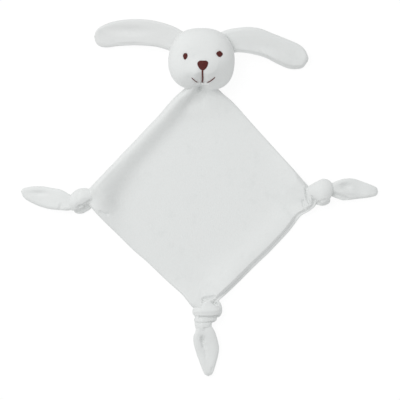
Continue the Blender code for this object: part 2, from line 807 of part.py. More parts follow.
def tip_half_width(knotted, share):
    grown = smoothstep(share / TIP_WIDEST_SHARE)
    half = knotted.tip_width / 2 * (knotted.root_share + (1 - knotted.root_share) * grown)
    if share > TIP_WIDEST_SHARE:
        late = (share - TIP_WIDEST_SHARE) / (1 - TIP_WIDEST_SHARE)
        blunt = knotted.end_share * math.sqrt(1 - TIP_BLUNT_SHARE * late**TIP_END_POWER)
        half *= (1 - late**TIP_NARROWING_POWER) * (1 - knotted.end_share) + blunt
    return half


def tip_middle(knotted, root, share, across):
    along = direction(knotted.tip_heading)
    lateral = sideways(knotted.tip_heading)
    half_width = tip_half_width(knotted, share)
    from_root = share * knotted.tip_length
    plan = root + along * from_root + lateral * (across * half_width)
    thinned = smoothstep(share / TIP_LAY_SHARE)
    full = TIP_ROOT_HALF_THICKNESS + (TIP_HALF_THICKNESS - TIP_ROOT_HALF_THICKNESS) * thinned
    half = rounded((1 - abs(across)) * half_width, full, RIM)
    half = min(half, rounded(from_root, full, RIM))
    half = min(half, rounded((1 - share) * knotted.tip_length, full, RIM))
    down = smoothstep((from_root - TIP_ROOT_HALF_THICKNESS) / (TIP_LAY_SHARE * knotted.tip_length))
    lying = TIP_HALF_THICKNESS - TABLE_CUT
    height = KNOT_MIDDLE_HEIGHT + (lying - KNOT_MIDDLE_HEIGHT) * down
    height += TIP_CURL * across * across * smoothstep(share / TIP_WIDEST_SHARE)
    groove = TIP_GROOVE * hump(across, TIP_GROOVE_REACH_SHARE)
    groove *= hump(share - TIP_GROOVE_SHARE, TIP_GROOVE_LENGTH_SHARE)
    return Vector((plan.x, plan.y, height)), half, groove


def build_tip(knotted, root, pivot):
    name = f"tip_{knotted.side}"

    def outer(share, across):
        point, half, groove = tip_middle(knotted, root, share, across)
        return point + Vector((0, 0, half - groove))

    def inner(share, across):
        point, half, groove = tip_middle(knotted, root, share, across)
        return Vector((point.x, point.y, max(point.z - half, 0)))

    add_piece(name, grid_layer(name, TIP_LINE_SHARES, CROSS_LINE_SHARES, outer, inner), VELOUR, pivot)


clear_scene()
PIECES = make_collection("rabbit_comforter")
CUTTERS = make_collection("cutters")
VELOUR = make_material("white_velour", (0.86, 0.87, 0.86), 0.95, 0.4)
FIBRE = make_material("polyester_filling", (0.9, 0.9, 0.88), 1.0)
BROWN_THREAD = make_material("brown_thread", (0.16, 0.035, 0.03), 0.6)

build_blanket()
neck_y = NECK_Y - CHIN_NOTCH_DEPTH - NECK_HALF_THICKNESS
neck_place = Vector((HEAD_X, neck_y, SEAM_HEIGHT - NECK_HALF_THICKNESS))
neck_pivot = make_pivot("neck_pivot", neck_place)
build_head(neck_pivot)
for each_ear in (LEFT_EAR, RIGHT_EAR):
    build_ear(each_ear, neck_pivot)
for each_corner in KNOTTED:
    build_knot(each_corner)
bpy.context.view_layer.update()
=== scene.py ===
"""Looks of the rabbit comforter: velour cloth, stuffed head, tied corners and embroidery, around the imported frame.

The frame is the CAD's: the origin is the middle of the blanket on the table, +Y runs to the head, +Z is up. Places
that were read off the photograph are kept in its pixels, at 1 mm a pixel, and turned by on_plan(). The floor, the
lamp and the camera are in metres.
"""
import math

import bmesh
import bpy
import numpy as np
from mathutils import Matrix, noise


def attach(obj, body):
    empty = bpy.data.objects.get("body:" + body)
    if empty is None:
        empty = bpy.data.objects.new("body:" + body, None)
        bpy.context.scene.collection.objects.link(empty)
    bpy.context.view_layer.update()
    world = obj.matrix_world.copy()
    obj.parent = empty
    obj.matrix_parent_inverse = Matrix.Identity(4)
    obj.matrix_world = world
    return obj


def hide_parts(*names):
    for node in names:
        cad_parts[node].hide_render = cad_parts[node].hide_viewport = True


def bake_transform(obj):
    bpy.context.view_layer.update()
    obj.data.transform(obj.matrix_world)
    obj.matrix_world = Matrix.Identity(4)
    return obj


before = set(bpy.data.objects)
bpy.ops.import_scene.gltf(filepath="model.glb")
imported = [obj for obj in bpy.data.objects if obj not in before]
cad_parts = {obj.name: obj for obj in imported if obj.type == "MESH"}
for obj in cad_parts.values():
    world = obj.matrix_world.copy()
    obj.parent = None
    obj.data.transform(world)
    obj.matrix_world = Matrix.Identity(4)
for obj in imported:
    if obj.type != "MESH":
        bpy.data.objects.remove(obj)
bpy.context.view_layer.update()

MM = 0.001
SAME_PLACE = 1e-6

# Photograph's frame: the pixel over the origin, the picture's side, and the camera's height in metres
ORIGIN_PX = (201.0, 198.0)
PICTURE_PX = 400
CAMERA_HEIGHT = 12.0

# Least height over the table of the head and the blanket, of the ears and the tips, and of the knots
BROAD_GAP = 0.15
LEAF_GAP = 0.2
KNOT_GAP = 0.3

# Head: its middle, seam, depths and outline are the CAD's
HEAD_X = 0.6
HEAD_Y = 139.5
SEAM_HEIGHT = 22.0
FACE_DEPTH = 26.0
BACK_DEPTH = 22.5
DEPTH_POWER = 2.3
# (degrees from +X, radius in mm) of the head's seam outline, the chin's notch left out
HEAD_RADII = (
    (0, 33), (-13, 33.2), (-25, 34.9), (-37, 36), (-49, 36), (-62, 34.7), (-75, 33), (-90, 31.9),
    (-105, 32.4), (-120, 34), (-134, 35.3), (-149, 35.2), (-164, 34.1), (-180, 33.3), (165, 32.6),
    (150, 32.7), (129, 32.3), (120, 32), (108, 31.1), (95, 30.3), (80, 30.4), (65, 31.4), (51, 32.8),
    (33, 32.6), (19, 33.1), (10, 33.2),
)
HEAD_HARMONICS = 6
NOTCH_X = -1.2
NOTCH_DEPTH = 5.2
NOTCH_HALF_WIDTH = 13.5

# Where the face leaves its plain section: a flatter brow, and a chin that slopes back to the gathered neck
BROW_POWER = 3.0
BROW_ANGLE = math.radians(110)
BROW_SPREAD = 1.5
CHIN_START = 0.4
CHIN_POWER = 1.35
CHIN_ANGLE = math.radians(-68)
CHIN_HALF_ANGLE = math.radians(80)
# (x, y, stretch along y, reach, rise) in mm from the head's middle: the muzzle, the hollows of the two eyes,
# the lower cheeks, and the dimples at the ends of the smile
FACE_RELIEF = (
    (1, -11, 1.1, 18, 2.4), (-16, 2.5, 1, 6, -0.7), (18, 5, 1, 6, -0.7), (21, -21, 1, 19, -1.6),
    (-12, -24, 1, 11, -1.4), (14, -17, 1, 5, -0.6), (-11, -19, 1, 5, -0.6),
)
# (start, end, rise, half width) in mm from the head's middle, of the pleats where the chin is gathered
CHIN_PLEATS = (
    ((-3.8, -23.7), (6.2, -24), -1.1, 1.2),
    ((-1, -25), (7, -27.6), 2.2, 1.8),
    ((-2.6, -25), (-8.5, -26.4), 1.3, 1.8),
    ((2, -27.2), (8, -29.2), -1.5, 1.5),
)
# Small tucks that fan out from a place under the chin, on a ring round another one
TUCKS_Y = -29
TUCKS = 11
TUCKS_PHASE = 0.8
TUCKS_DEPTH = 0.5
TUCKS_RING_Y = -27
TUCKS_RING = 2
TUCKS_REACH = 7
FURROW_DEPTH, FURROW_HALF_WIDTH = 0.55, 0.9
HEAD_STEPS, HEAD_RINGS = 288, 64

# Height in mm of the middle of the cloth where it runs into each knot
THROAT_HEIGHT = 8.75


def on_plan(px, py):
    """Millimetres in the CAD's plan of a pixel of the photograph."""
    return px - ORIGIN_PX[0], ORIGIN_PX[1] - py


def pixels(plan):
    """Pixels of the photograph of an array of places in the plan."""
    return plan[..., 0] + ORIGIN_PX[0], ORIGIN_PX[1] - plan[..., 1]


def smooth(share):
    """0 up to 0, 1 from 1 on, and an S-shaped step between them."""
    share = np.clip(share, 0, 1)
    return share * share * (3 - 2 * share)


def hump(distance, reach):
    """1 at no distance, falling smoothly to 0 at reach."""
    share = np.minimum(np.abs(distance) / reach, 1)
    return (1 - share * share) ** 2


def swell(distance, middle, reach):
    """1 at the middle distance, with a long fall on both sides of it."""
    return np.exp(-(((distance - middle) / reach) ** 2))


def rounded(distance, reach):
    """0 at an edge and 1 from reach on, as a quarter round."""
    share = 1 - np.clip(distance / reach, 0, 1)
    return np.sqrt(np.maximum(1 - share * share, 0))


def ripple(plan, scale, seed):
    """Smooth noise from -1 to 1 over an array of places in the plan, with features about scale across."""
    values = [noise.noise((x / scale + seed, y / scale, seed)) for x, y in plan.reshape(-1, 2)]
    return np.reshape(values, plan.shape[:-1])


def crowded(count):
    """Shares from -1 to 1, closer together towards both ends."""
    return np.sin(np.linspace(-1, 1, count) * math.pi / 2)


def run_along(path):
    """Length of a path up to each of its places."""
    return np.concatenate([[0], np.cumsum(np.linalg.norm(np.diff(path, axis=0), axis=1))])


def headings(path):
    """Unit direction of a path at each of its places."""
    along = np.gradient(path, axis=0)
    return along / np.linalg.norm(along, axis=1, keepdims=True)


def through(points, shares):
    """Places at these shares of the length of a smooth curve through points, as an array."""
    points = np.array(points, float)
    ends = np.vstack([2 * points[0] - points[1], points, 2 * points[-1] - points[-2]])
    steps = np.linspace(0, 1, 25)[:-1, None]
    spans = [
        0.5 * (2 * start + (end - before) * steps + (2 * before - 5 * start + 4 * end - after) * steps**2
               + (3 * start - before - 3 * end + after) * steps**3)
        for before, start, end, after in zip(ends, ends[1:], ends[2:], ends[3:])
    ]
    dense = np.vstack(spans + [points[-1:]])
    run = run_along(dense)
    return np.stack([np.interp(shares * run[-1], run, dense[:, side]) for side in range(dense.shape[1])], axis=-1)


def to_line(x, y, start, end):
    """Distance of places from the straight line between two others."""
    span = np.subtract(end, start)
    share = np.clip(((x - start[0]) * span[0] + (y - start[1]) * span[1]) / (span @ span), 0, 1)
    return np.hypot(x - start[0] - share * span[0], y - start[1] - share * span[1])


# Objects and meshes

def add_object(name, data):
    thing = bpy.data.objects.new(name, data)
    bpy.context.scene.collection.objects.link(thing)
    return thing


def add_mesh(name, verts, faces, material):
    """A smooth-shaded object from places in mm, its faces turned outward."""
    mesh = bpy.data.meshes.new(name)
    mesh.from_pydata((verts * MM).tolist(), [], [list(map(int, face)) for face in faces])
    cleaned = bmesh.new()
    cleaned.from_mesh(mesh)
    bmesh.ops.remove_doubles(cleaned, verts=cleaned.verts[:], dist=SAME_PLACE)
    bmesh.ops.recalc_face_normals(cleaned, faces=cleaned.faces[:])
    cleaned.to_mesh(mesh)
    cleaned.free()
    mesh.materials.append(material)
    mesh.shade_smooth()
    return add_object(name, mesh)


def pillow(name, front, back, material):
    """A closed mesh of two grids of places in mm, (rows, columns, 3), which share their border."""
    rows, columns = front.shape[:2]
    index = np.arange(rows * columns).reshape(rows, columns)
    behind = index.copy()
    behind[1:-1, 1:-1] = np.arange((rows - 2) * (columns - 2)).reshape(rows - 2, columns - 2) + rows * columns
    verts = np.vstack([front.reshape(-1, 3), back[1:-1, 1:-1].reshape(-1, 3)])
    upper, lower = (
        np.stack([table[:-1, :-1], table[1:, :-1], table[1:, 1:], table[:-1, 1:]], axis=-1).reshape(-1, 4)
        for table in (index, behind)
    )
    return add_mesh(name, verts, np.vstack([upper, lower[:, ::-1]]), material)


def ring_faces(count, sides):
    """Faces of a closed tube made of this many rings."""
    faces = []
    for start in range(0, (count - 1) * sides, sides):
        for turn in range(sides):
            after = (turn + 1) % sides
            faces.append((start + turn, start + after, start + sides + after, start + sides + turn))
    faces.append(tuple(range(sides))[::-1])
    faces.append(tuple((count - 1) * sides + turn for turn in range(sides)))
    return faces


def tube(path, radius, sides):
    """(verts, faces) of a closed tube along a path, with its radius at each place."""
    radius = np.broadcast_to(radius, (len(path),))
    turns = np.linspace(0, 2 * math.pi, sides, endpoint=False)[:, None]
    directions = headings(path)
    side = np.cross(directions[0], (0, 0, 1))
    rings = []
    for place, along, reach in zip(path, directions, radius):
        side = side - along * side.dot(along)
        side /= np.linalg.norm(side)
        rings.append(place + reach * (np.cos(turns) * side + np.sin(turns) * np.cross(along, side)))
    return np.vstack(rings), ring_faces(len(path), sides)


def merge(parts):
    """One (verts, faces) from several."""
    verts, faces, start = [], [], 0
    for part_verts, part_faces in parts:
        verts.append(part_verts)
        faces += [tuple(start + index for index in face) for face in part_faces]
        start += len(part_verts)
    return np.vstack(verts), faces


def bend(piece):
    """Bake a piece's transform into its mesh; its cloth is not bent here."""
    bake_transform(piece)


# Materials

def set_node(tree, node, *first_inputs, **values):
    """Set a node's first inputs in order, and its settings and other inputs by name. An output is linked."""
    fed = list(zip(node.inputs, first_inputs))
    for key, value in values.items():
        if hasattr(node, key):
            setattr(node, key, value)
        else:
            fed.append((node.inputs[key.replace("_", " ")], value))
    for socket, value in fed:
        if isinstance(value, bpy.types.NodeSocket):
            tree.links.new(value, socket)
        else:
            socket.default_value = value


def add_node(tree, kind, *first_inputs, **values):
    node = tree.nodes.new(kind)
    set_node(tree, node, *first_inputs, **values)
    return node


def new_material(name):
    material = bpy.data.materials.new(name)
    material.use_nodes = True
    return material, material.node_tree


def velour(name, tone, shade):
    """Short-pile knitted velour: fine bump of the pile, faint brushed patches and a soft sheen."""
    material, tree = new_material(name)
    place = add_node(tree, "ShaderNodeTexCoord").outputs["Object"]
    brushed = add_node(tree, "ShaderNodeTexNoise", Vector=place, Scale=95.0, Detail=3.0, Roughness=0.55)
    tufts = add_node(tree, "ShaderNodeTexNoise", Vector=place, Scale=1500.0, Detail=2.0, Roughness=0.6)
    stitches = add_node(tree, "ShaderNodeTexVoronoi", Vector=place, Scale=1100.0)
    both = add_node(
        tree, "ShaderNodeMath", tufts.outputs["Fac"], 0.35, brushed.outputs["Fac"], operation="MULTIPLY_ADD"
    )
    spread = add_node(tree, "ShaderNodeMapRange", Value=both.outputs[0], From_Min=0.3, From_Max=0.62)
    mixed = add_node(tree, "ShaderNodeMixRGB", spread.outputs[0], (*shade, 1), (*tone, 1))
    height = add_node(tree, "ShaderNodeMath", tufts.outputs["Fac"], stitches.outputs["Distance"], operation="ADD")
    bump = add_node(tree, "ShaderNodeBump", Strength=0.55, Distance=0.00022, Height=height.outputs[0])
    set_node(
        tree, tree.nodes["Principled BSDF"], Base_Color=mixed.outputs[0], Roughness=0.95, Specular_IOR_Level=0.12,
        Sheen_Weight=0.25, Sheen_Roughness=0.45, Normal=bump.outputs["Normal"],
    )
    return material


def thread_material(name, tone, shade):
    """Embroidery thread: a satin gloss and the fine fibres of its plies."""
    material, tree = new_material(name)
    place = add_node(tree, "ShaderNodeTexCoord").outputs["Object"]
    fibre = add_node(tree, "ShaderNodeTexNoise", Vector=place, Scale=2600.0, Detail=2.0).outputs["Fac"]
    mixed = add_node(tree, "ShaderNodeMixRGB", fibre, (*shade, 1), (*tone, 1))
    bump = add_node(tree, "ShaderNodeBump", Strength=0.4, Distance=0.00008, Height=fibre)
    set_node(
        tree, tree.nodes["Principled BSDF"], Base_Color=mixed.outputs[0], Roughness=0.42, Specular_IOR_Level=0.2,
        Sheen_Weight=0.05, Normal=bump.outputs["Normal"],
    )
    return material


VELOUR = velour("velour_white", (0.835, 0.848, 0.842), (0.79, 0.806, 0.8))
# the same cloth with painted shade: a darker copy of its tones, for the left ear
VELOUR_PAINTED_SHADE = velour("velour_painted_shade", (0.8, 0.808, 0.803), (0.757, 0.768, 0.763))
THREAD = thread_material("thread_brown", (0.162, 0.034, 0.029), (0.068, 0.009, 0.008))


# Head

def harmonics(angle):
    """The outline's terms: one, and the cosine and sine of each multiple of an angle."""
    multiples = [order * angle for order in range(1, HEAD_HARMONICS + 1)]
    return [np.ones_like(angle)] + [wave(multiple) for multiple in multiples for wave in (np.cos, np.sin)]


HEAD_DEGREES, HEAD_MEASURES = np.array(HEAD_RADII, float).T
# how much of each term fits the measured radii
HEAD_TERMS = np.linalg.lstsq(np.stack(harmonics(np.radians(HEAD_DEGREES)), axis=-1), HEAD_MEASURES, rcond=None)[0]


def head_radius(angle):
    """Radius of the head's seam outline in mm."""
    radius = sum(size * term for size, term in zip(HEAD_TERMS, harmonics(angle)))
    aside = radius * np.cos(angle) - NOTCH_X
    low = smooth(-np.sin(angle) * 3)
    return radius - NOTCH_DEPTH * hump(aside, NOTCH_HALF_WIDTH) * low


def face_relief(x, y):
    """Extra height of the face over its plain form, from the head's middle, in mm."""
    relief = 0.0
    for middle_x, middle_y, stretch, reach, rise in FACE_RELIEF:
        relief = relief + rise * hump(np.hypot(x - middle_x, (y - middle_y) * stretch), reach)
    return relief


def section(share, depth, power):
    """Height over the seam of the head's plain section, a superellipse."""
    return depth * np.maximum(1 - share**power, 0) ** (1 / power)


def face_section(angle, share, x, y):
    """Height of the face over the seam, before its tucks and pleats."""
    height = section(share, FACE_DEPTH, DEPTH_POWER)
    flatter = section(share, FACE_DEPTH, BROW_POWER)
    height = height + (flatter - height) * ((1 + np.cos(angle - BROW_ANGLE)) / 2) ** BROW_SPREAD
    ramp = np.clip((share - CHIN_START) / (1 - CHIN_START), 0, 1)
    receding = FACE_DEPTH * (1 - ramp**CHIN_POWER)
    away = np.arccos(np.clip(np.cos(angle - CHIN_ANGLE), -1, 1))
    height = height + (np.minimum(receding, height) - height) * hump(away, CHIN_HALF_ANGLE)
    return height + face_relief(x, y) * smooth((1 - share) * 5)


def chin_tucks(share, x, y):
    """Height of the small tucks round the gathered chin."""
    aside = x - NOTCH_X
    waves = (np.cos(np.arctan2(y - TUCKS_Y, aside) * TUCKS + TUCKS_PHASE) - 0.8) * TUCKS_DEPTH
    ring = hump(np.hypot(aside, y - TUCKS_RING_Y) - TUCKS_RING, TUCKS_REACH)
    return waves * ring * smooth(share * 4 - 2.4) * smooth(np.hypot(aside, y - TUCKS_Y) / TUCKS_REACH)


def head_place(angle, share, above):
    """Place on the head's skin in mm. share is 0 at the pole and 1 at the seam."""
    radius = head_radius(angle) * share
    x, y = radius * np.cos(angle), radius * np.sin(angle)
    height = face_section(angle, share, x, y) if above else section(share, BACK_DEPTH, DEPTH_POWER)
    height = height + chin_tucks(share, x, y)
    if above:
        for start, end, rise, half_width in CHIN_PLEATS:
            height = height + rise * hump(to_line(x, y, start, end), half_width) * smooth((1 - share) * 10)
    # the seam's fine furrow
    radius = radius - FURROW_DEPTH * hump(height, FURROW_HALF_WIDTH)
    level = np.maximum(SEAM_HEIGHT + (height if above else -height), BROAD_GAP)
    return np.stack([HEAD_X + radius * np.cos(angle), HEAD_Y + radius * np.sin(angle), level], axis=-1)


def build_head():
    angles = np.linspace(0, 2 * math.pi, HEAD_STEPS, endpoint=False)
    # closer together near the seam, where the skin turns steep
    shares = np.sin(np.linspace(0, 1, HEAD_RINGS) * math.pi / 2) ** (2 / DEPTH_POWER)
    grid_angle, grid_share = np.meshgrid(angles, shares[1:-1])
    rings = len(grid_share)
    rim = head_place(angles, np.ones(HEAD_STEPS), True)
    rim[:, 2] = SEAM_HEIGHT
    verts, faces, start = [rim], [], HEAD_STEPS
    for above in (True, False):
        skin = head_place(grid_angle, grid_share, above)
        verts += [skin.reshape(-1, 3), head_place(np.zeros(1), np.zeros(1), above)]
        pole = start + rings * HEAD_STEPS
        table = np.vstack([np.arange(start, pole).reshape(rings, HEAD_STEPS), np.arange(HEAD_STEPS)])
        after = np.roll(table, -1, axis=1)
        faces += np.stack([table[:-1], table[1:], after[1:], after[:-1]], axis=-1).reshape(-1, 4).tolist()
        faces += [(pole, *pair) for pair in zip(table[0], after[0])]
        start = pole + 1
    piece = add_mesh("head_plush", np.vstack(verts), faces, VELOUR)
    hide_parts("head_front_panel", "head_back_panel", "head_filling")
    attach(piece, "head")


# Embroidery

# (piece, node, slant of the threads in radians, outline in pixels) of the satin-stitched patches
PATCHES = (
    ("eye_left_stitches", "eye_left", 0.12, (
        (185.7, 53), (187.1, 53.9), (187.4, 56), (186.6, 58.2), (184.9, 59.5), (183.8, 58), (183.2, 55.8),
        (183.9, 53.8),
    )),
    ("eye_right_stitches", "eye_right", -0.1, (
        (219.6, 50.8), (221.4, 52), (222.7, 54), (221.5, 55.9), (219.5, 57), (217.6, 55.7), (216.2, 53.6),
        (217.5, 51.8),
    )),
    ("nose_stitches", "nose", 0, (
        (202.6, 60.7), (206.3, 60.9), (208, 62.6), (207.5, 65.6), (205.6, 68.5), (203, 70.1), (200.2, 69.1),
        (198.2, 66.3), (197.5, 63.1), (199.2, 61.1),
    )),
)
# (piece, node, width in mm, points in pixels) of the stem-stitched lines
LINES = (
    ("lip_stitches", "lip_line", 1.7, ((202.6, 69.6), (202.6, 74), (202.7, 78.2), (202.5, 82.6))),
    ("smile_left_stitches", "smile_left", 0.9, ((191.6, 77.4), (193.4, 79.2), (195.3, 80.8), (197.4, 82.3))),
    ("smile_right_stitches", "smile_right", 1.1, ((215, 77), (212.9, 78.8), (210.2, 80.8), (207.2, 82.6))),
)
STITCH_PITCH = 0.62
STITCH_RADIUS = 0.36
STITCH_PLACES = 13
STITCH_RISE = 0.05
STITCH_CROWN = 0.75
LINE_PLACES = 60
PLY_TURN = 2.4
LINE_TAPER = 1.2
SLOPE_STEP = 0.4


def from_photo(points):
    """Pixels of the photograph as mm from the head's middle, at the height of the face."""
    nearer = 1 - (SEAM_HEIGHT + FACE_DEPTH) * MM / CAMERA_HEIGHT
    middle = PICTURE_PX / 2
    flat = [on_plan(middle + (px - middle) * nearer, middle + (py - middle) * nearer) for px, py in points]
    return np.array([(x - HEAD_X, y - HEAD_Y) for x, y in flat])


def face_height(x, y):
    """Height in mm of the face's skin over a place given from the head's middle."""
    angle = np.arctan2(y, x)
    share = np.minimum(np.hypot(x, y) / head_radius(angle), 0.999)
    return head_place(angle, share, True)[..., 2]


def on_face(x, y, rise):
    """Places that stand out by rise from the face's skin, over places given from the head's middle."""
    slope_x = (face_height(x + SLOPE_STEP, y) - face_height(x - SLOPE_STEP, y)) / (2 * SLOPE_STEP)
    slope_y = (face_height(x, y + SLOPE_STEP) - face_height(x, y - SLOPE_STEP)) / (2 * SLOPE_STEP)
    normal = np.stack([-slope_x, -slope_y, np.ones_like(slope_x)], axis=-1)
    normal /= np.linalg.norm(normal, axis=-1, keepdims=True)
    return np.stack([HEAD_X + x, HEAD_Y + y, face_height(x, y)], axis=-1) + normal * rise[:, None]


def embroider(name, node, threads):
    """Threads sewn on the head, as one piece in the place of a node."""
    piece = add_mesh(name, *merge(threads), THREAD)
    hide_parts(node)
    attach(piece, "head")


def satin_patch(name, node, slant, outline):
    """A satin-stitched patch: threads laid side by side between the two sides of an outline on the face."""
    outline = from_photo(outline)
    turn = np.array([[math.cos(slant), math.sin(slant)], [-math.sin(slant), math.cos(slant)]])
    turned = through(np.vstack([outline, outline[:1]]), np.linspace(0, 1, 200)) @ turn.T
    low, high = turned[:, 1].min(), turned[:, 1].max()
    rows = int((high - low) / STITCH_PITCH)
    shares = np.linspace(0, 1, STITCH_PLACES)
    threads = []
    for row in range(rows):
        level = low + (row + 0.5) * (high - low) / rows
        crossing = [
            start[0] + (level - start[1]) / (end[1] - start[1]) * (end[0] - start[0])
            for start, end in zip(turned, turned[1:]) if (start[1] - level) * (end[1] - level) < 0
        ]
        left, right = min(crossing), max(crossing)
        flat = np.stack([left + (right - left) * shares, np.full(STITCH_PLACES, level)], axis=-1) @ turn
        # each thread is highest at its middle, and those in the middle of the patch are higher
        fullness = 0.35 + 0.55 * hump(level - (low + high) / 2, (high - low) * 0.75)
        rise = STITCH_RISE + np.sin(shares * math.pi) ** 0.5 * fullness * STITCH_CROWN
        threads.append(tube(on_face(flat[:, 0], flat[:, 1], rise), STITCH_RADIUS, 6))
    embroider(name, node, threads)


def stitched_line(name, node, width, points):
    """A line of stem stitch: two plies of thread twisted round the line on the face."""
    dense = through(from_photo(points), np.linspace(0, 1, LINE_PLACES))
    run = run_along(dense)
    centre = on_face(dense[:, 0], dense[:, 1], np.full(LINE_PLACES, width * 0.3))
    along = headings(dense)
    across = np.stack([-along[:, 1], along[:, 0], np.zeros(LINE_PLACES)], axis=-1)
    taper = np.sqrt(np.clip(np.minimum(run, run[-1] - run) / LINE_TAPER, 0.12, 1))
    threads = []
    for phase in (0, math.pi):
        turn = run / PLY_TURN * 2 * math.pi + phase
        shift = across * (np.cos(turn) * width * 0.24 * taper)[:, None]
        shift[:, 2] += np.sin(turn) * width * 0.16
        threads.append(tube(centre + shift, width * 0.3 * taper, 8))
    embroider(name, node, threads)


def build_face():
    for patch in PATCHES:
        satin_patch(*patch)
    for line in LINES:
        stitched_line(*line)


# Ears and tips: leaves between two measured sides

# Both sides of each leaf in pixels, from its root to its end
LEAF_SIDES = {
    "ear_left": (
        ((171.5, 51.5), (160.5, 48), (151.7, 46.4), (135.8, 45.4), (119.9, 46), (106.3, 47.5), (99.1, 45.9),
         (95.6, 42), (94.4, 37)),
        ((184.2, 33), (178, 29), (169.3, 25.1), (156.5, 21.5), (143.8, 19.6), (127.8, 19.6), (111.9, 22),
         (100.7, 26.7), (95.9, 31.6), (94.4, 37)),
    ),
    "ear_right": (
        ((221, 32.5), (226.5, 30.2), (233.1, 28.8), (247.4, 27.2), (260.2, 28.8), (271.3, 33.1), (285.7, 38.7),
         (298.4, 44.3), (304.8, 49.9), (308.3, 57.8), (307.2, 62)),
        ((231.5, 53.5), (237.5, 52.6), (244, 53), (252.2, 54.3), (264.9, 57.8), (277.7, 64.2), (288.9, 68.7),
         (298.4, 69), (303.5, 67), (307.2, 62)),
    ),
    "tip_left": (
        ((73, 209.5), (68, 210.6), (62.5, 210.3), (57.7, 209.9), (48.9, 208.9), (38.7, 205.9), (28.6, 201.1),
         (23.4, 197), (21, 191.6)),
        ((73, 196), (68, 193.4), (61.1, 189.6), (52.3, 187.9), (42.1, 186.2), (33, 186.4), (25.6, 187.6),
         (22.2, 189.2), (21, 191.6)),
    ),
    "tip_right": (
        ((329, 184), (334.7, 181.8), (339, 180.2), (344.3, 178.7), (353.9, 178.7), (364.6, 182.4), (372, 185.2),
         (376.6, 187.6), (377.9, 191.6)),
        ((327.5, 194.5), (333.3, 197), (338.8, 199.1), (344.3, 200.3), (358, 198.8), (368.3, 197.6), (375.1, 196),
         (377.2, 194.2), (377.9, 191.6)),
    ),
    "tip_bottom": (
        ((210.5, 323), (212.3, 327.4), (214.5, 330.7), (217.1, 338.3), (219, 347.4), (218.1, 355.3), (215.1, 366.3),
         (212.4, 373.6), (208.5, 376.1)),
        ((196.5, 326), (195.3, 331.8), (193.6, 335.7), (193.3, 340.9), (194.6, 347.4), (197.9, 357.9), (202.1, 368.9),
         (204.7, 374.2), (208.5, 376.1)),
    ),
}
# Widths over which the first side, the second side and the end of each leaf round off
LEAF_RIMS = {
    "ear_left": (4.8, 3, 4),
    "ear_right": (4, (0.14, 0.3, 3.8), 4.5),
    "tip_left": (4, 3.5, 3),
    "tip_right": (4.5, 4, 4.5),
    "tip_bottom": (6, 4.5, 4.5),
}
# (rise in mm, middle, half sizes, turn in radians) of the oval dents and swellings on each piece's upper side
DENTS = {
    "ear_left": ((-2.1, (130, 31), (28, 7), 0.02), (-1.1, (131, 43.8), (17, 1.9), -0.02)),
    "ear_right": (
        (0.5, (252, 36), (34, 9), 0.3), (-1.1, (261, 53), (4.5, 1.6), 0.85), (2.3, (279, 60), (26, 9), 0.45),
    ),
    "tip_left": ((-1.6, (38.5, 193.4), (13, 3.4), 0.04),),
    "tip_right": ((-2.2, (346, 186.2), (8, 4.4), 0.15), (1, (350, 192.6), (15, 3.2), 0.12)),
    "tip_bottom": (
        (-2.4, (202.6, 340), (3.2, 5.6), 0), (-0.9, (205.4, 352), (2.4, 11), -0.12),
        (-0.9, (212, 369.5), (2, 4), 0.2),
    ),
    "under_chin": (
        (-6.3, (199.3, 86.8), (5, 5.6), 0.35), (-3, (201.5, 87.5), (13, 9.5), 0),
        (-1, (204.8, 92.5), (2.4, 7), -0.25),
    ),
    "left_collar": ((1.6, (105, 204), (16, 14), 0),),
}
# (rise in mm, start, end, width, reach, fade) of the folds there
FOLDS = {
    "tip_left": ((-2.2, (60, 204), (58.8, 210.5), 1.3, 4, 3),),
    "tip_right": ((-3.8, (349, 198.2), (331, 191), 1.8, 10, 2.5),),
    "tip_bottom": ((-2.6, (200.6, 336.5), (202.6, 348), 1.4, 4.2, 2.4),),
    "roll_inside": ((-5.2, (198.8, 85), (180, 112.5), 2.4, 16, 3),),
}
EAR_GRID = (130, 48)
LEFT_EAR_END, LEFT_EAR_TOP = 3.4, 3.8
RIGHT_EAR_END, RIGHT_EAR_TOP = 5.2, 5.4
EAR_BOTTOM = 2.1
TIP_GRID = (96, 40)
TIP_ROOT_HEIGHT, TIP_END_HEIGHT = 8.2, 3.2
TIP_THICKNESS = 4.4
# name of the tip: (extra thickness on top, seed of its unevenness)
TIPS = {"left": (0.6, 1.3), "right": (0.8, 4.3), "bottom": (0.5, 6.3)}


def dent(px, py, middle, size, angle):
    """1 at the middle of an oval dent, 0 outside it. Sizes and places are in pixels of the photograph."""
    dx, dy = px - middle[0], py - middle[1]
    along = dx * math.cos(angle) + dy * math.sin(angle)
    aside = -dx * math.sin(angle) + dy * math.cos(angle)
    return hump(np.hypot(along / size[0], aside / size[1]), 1)


def fold(px, py, start, end, width, reach, fade):
    """1 just past the line from start to end, on its left-hand side in the photograph's pixels, and 0 before it.

    It changes over width, lasts for reach beside the line, and fades at the line's ends.
    """
    run = np.subtract(end, start)
    length = np.hypot(*run)
    run = run / length
    down = (px - start[0]) * run[0] + (py - start[1]) * run[1]
    beside = (px - start[0]) * run[1] - (py - start[1]) * run[0]
    past = smooth((beside / width + 1) / 2) * swell(np.maximum(beside, 0), 0, reach)
    return past * smooth((down / fade + 1) / 2) * smooth(((length - down) / fade + 1) / 2)


def relief(name, plan):
    """Height in mm that the dents and folds of this name add at places of the plan."""
    px, py = pixels(plan)
    total = np.zeros(px.shape)
    for rise, *shape in DENTS.get(name, ()):
        total += rise * dent(px, py, *shape)
    for rise, *shape in FOLDS.get(name, ()):
        total += rise * fold(px, py, *shape)
    return total


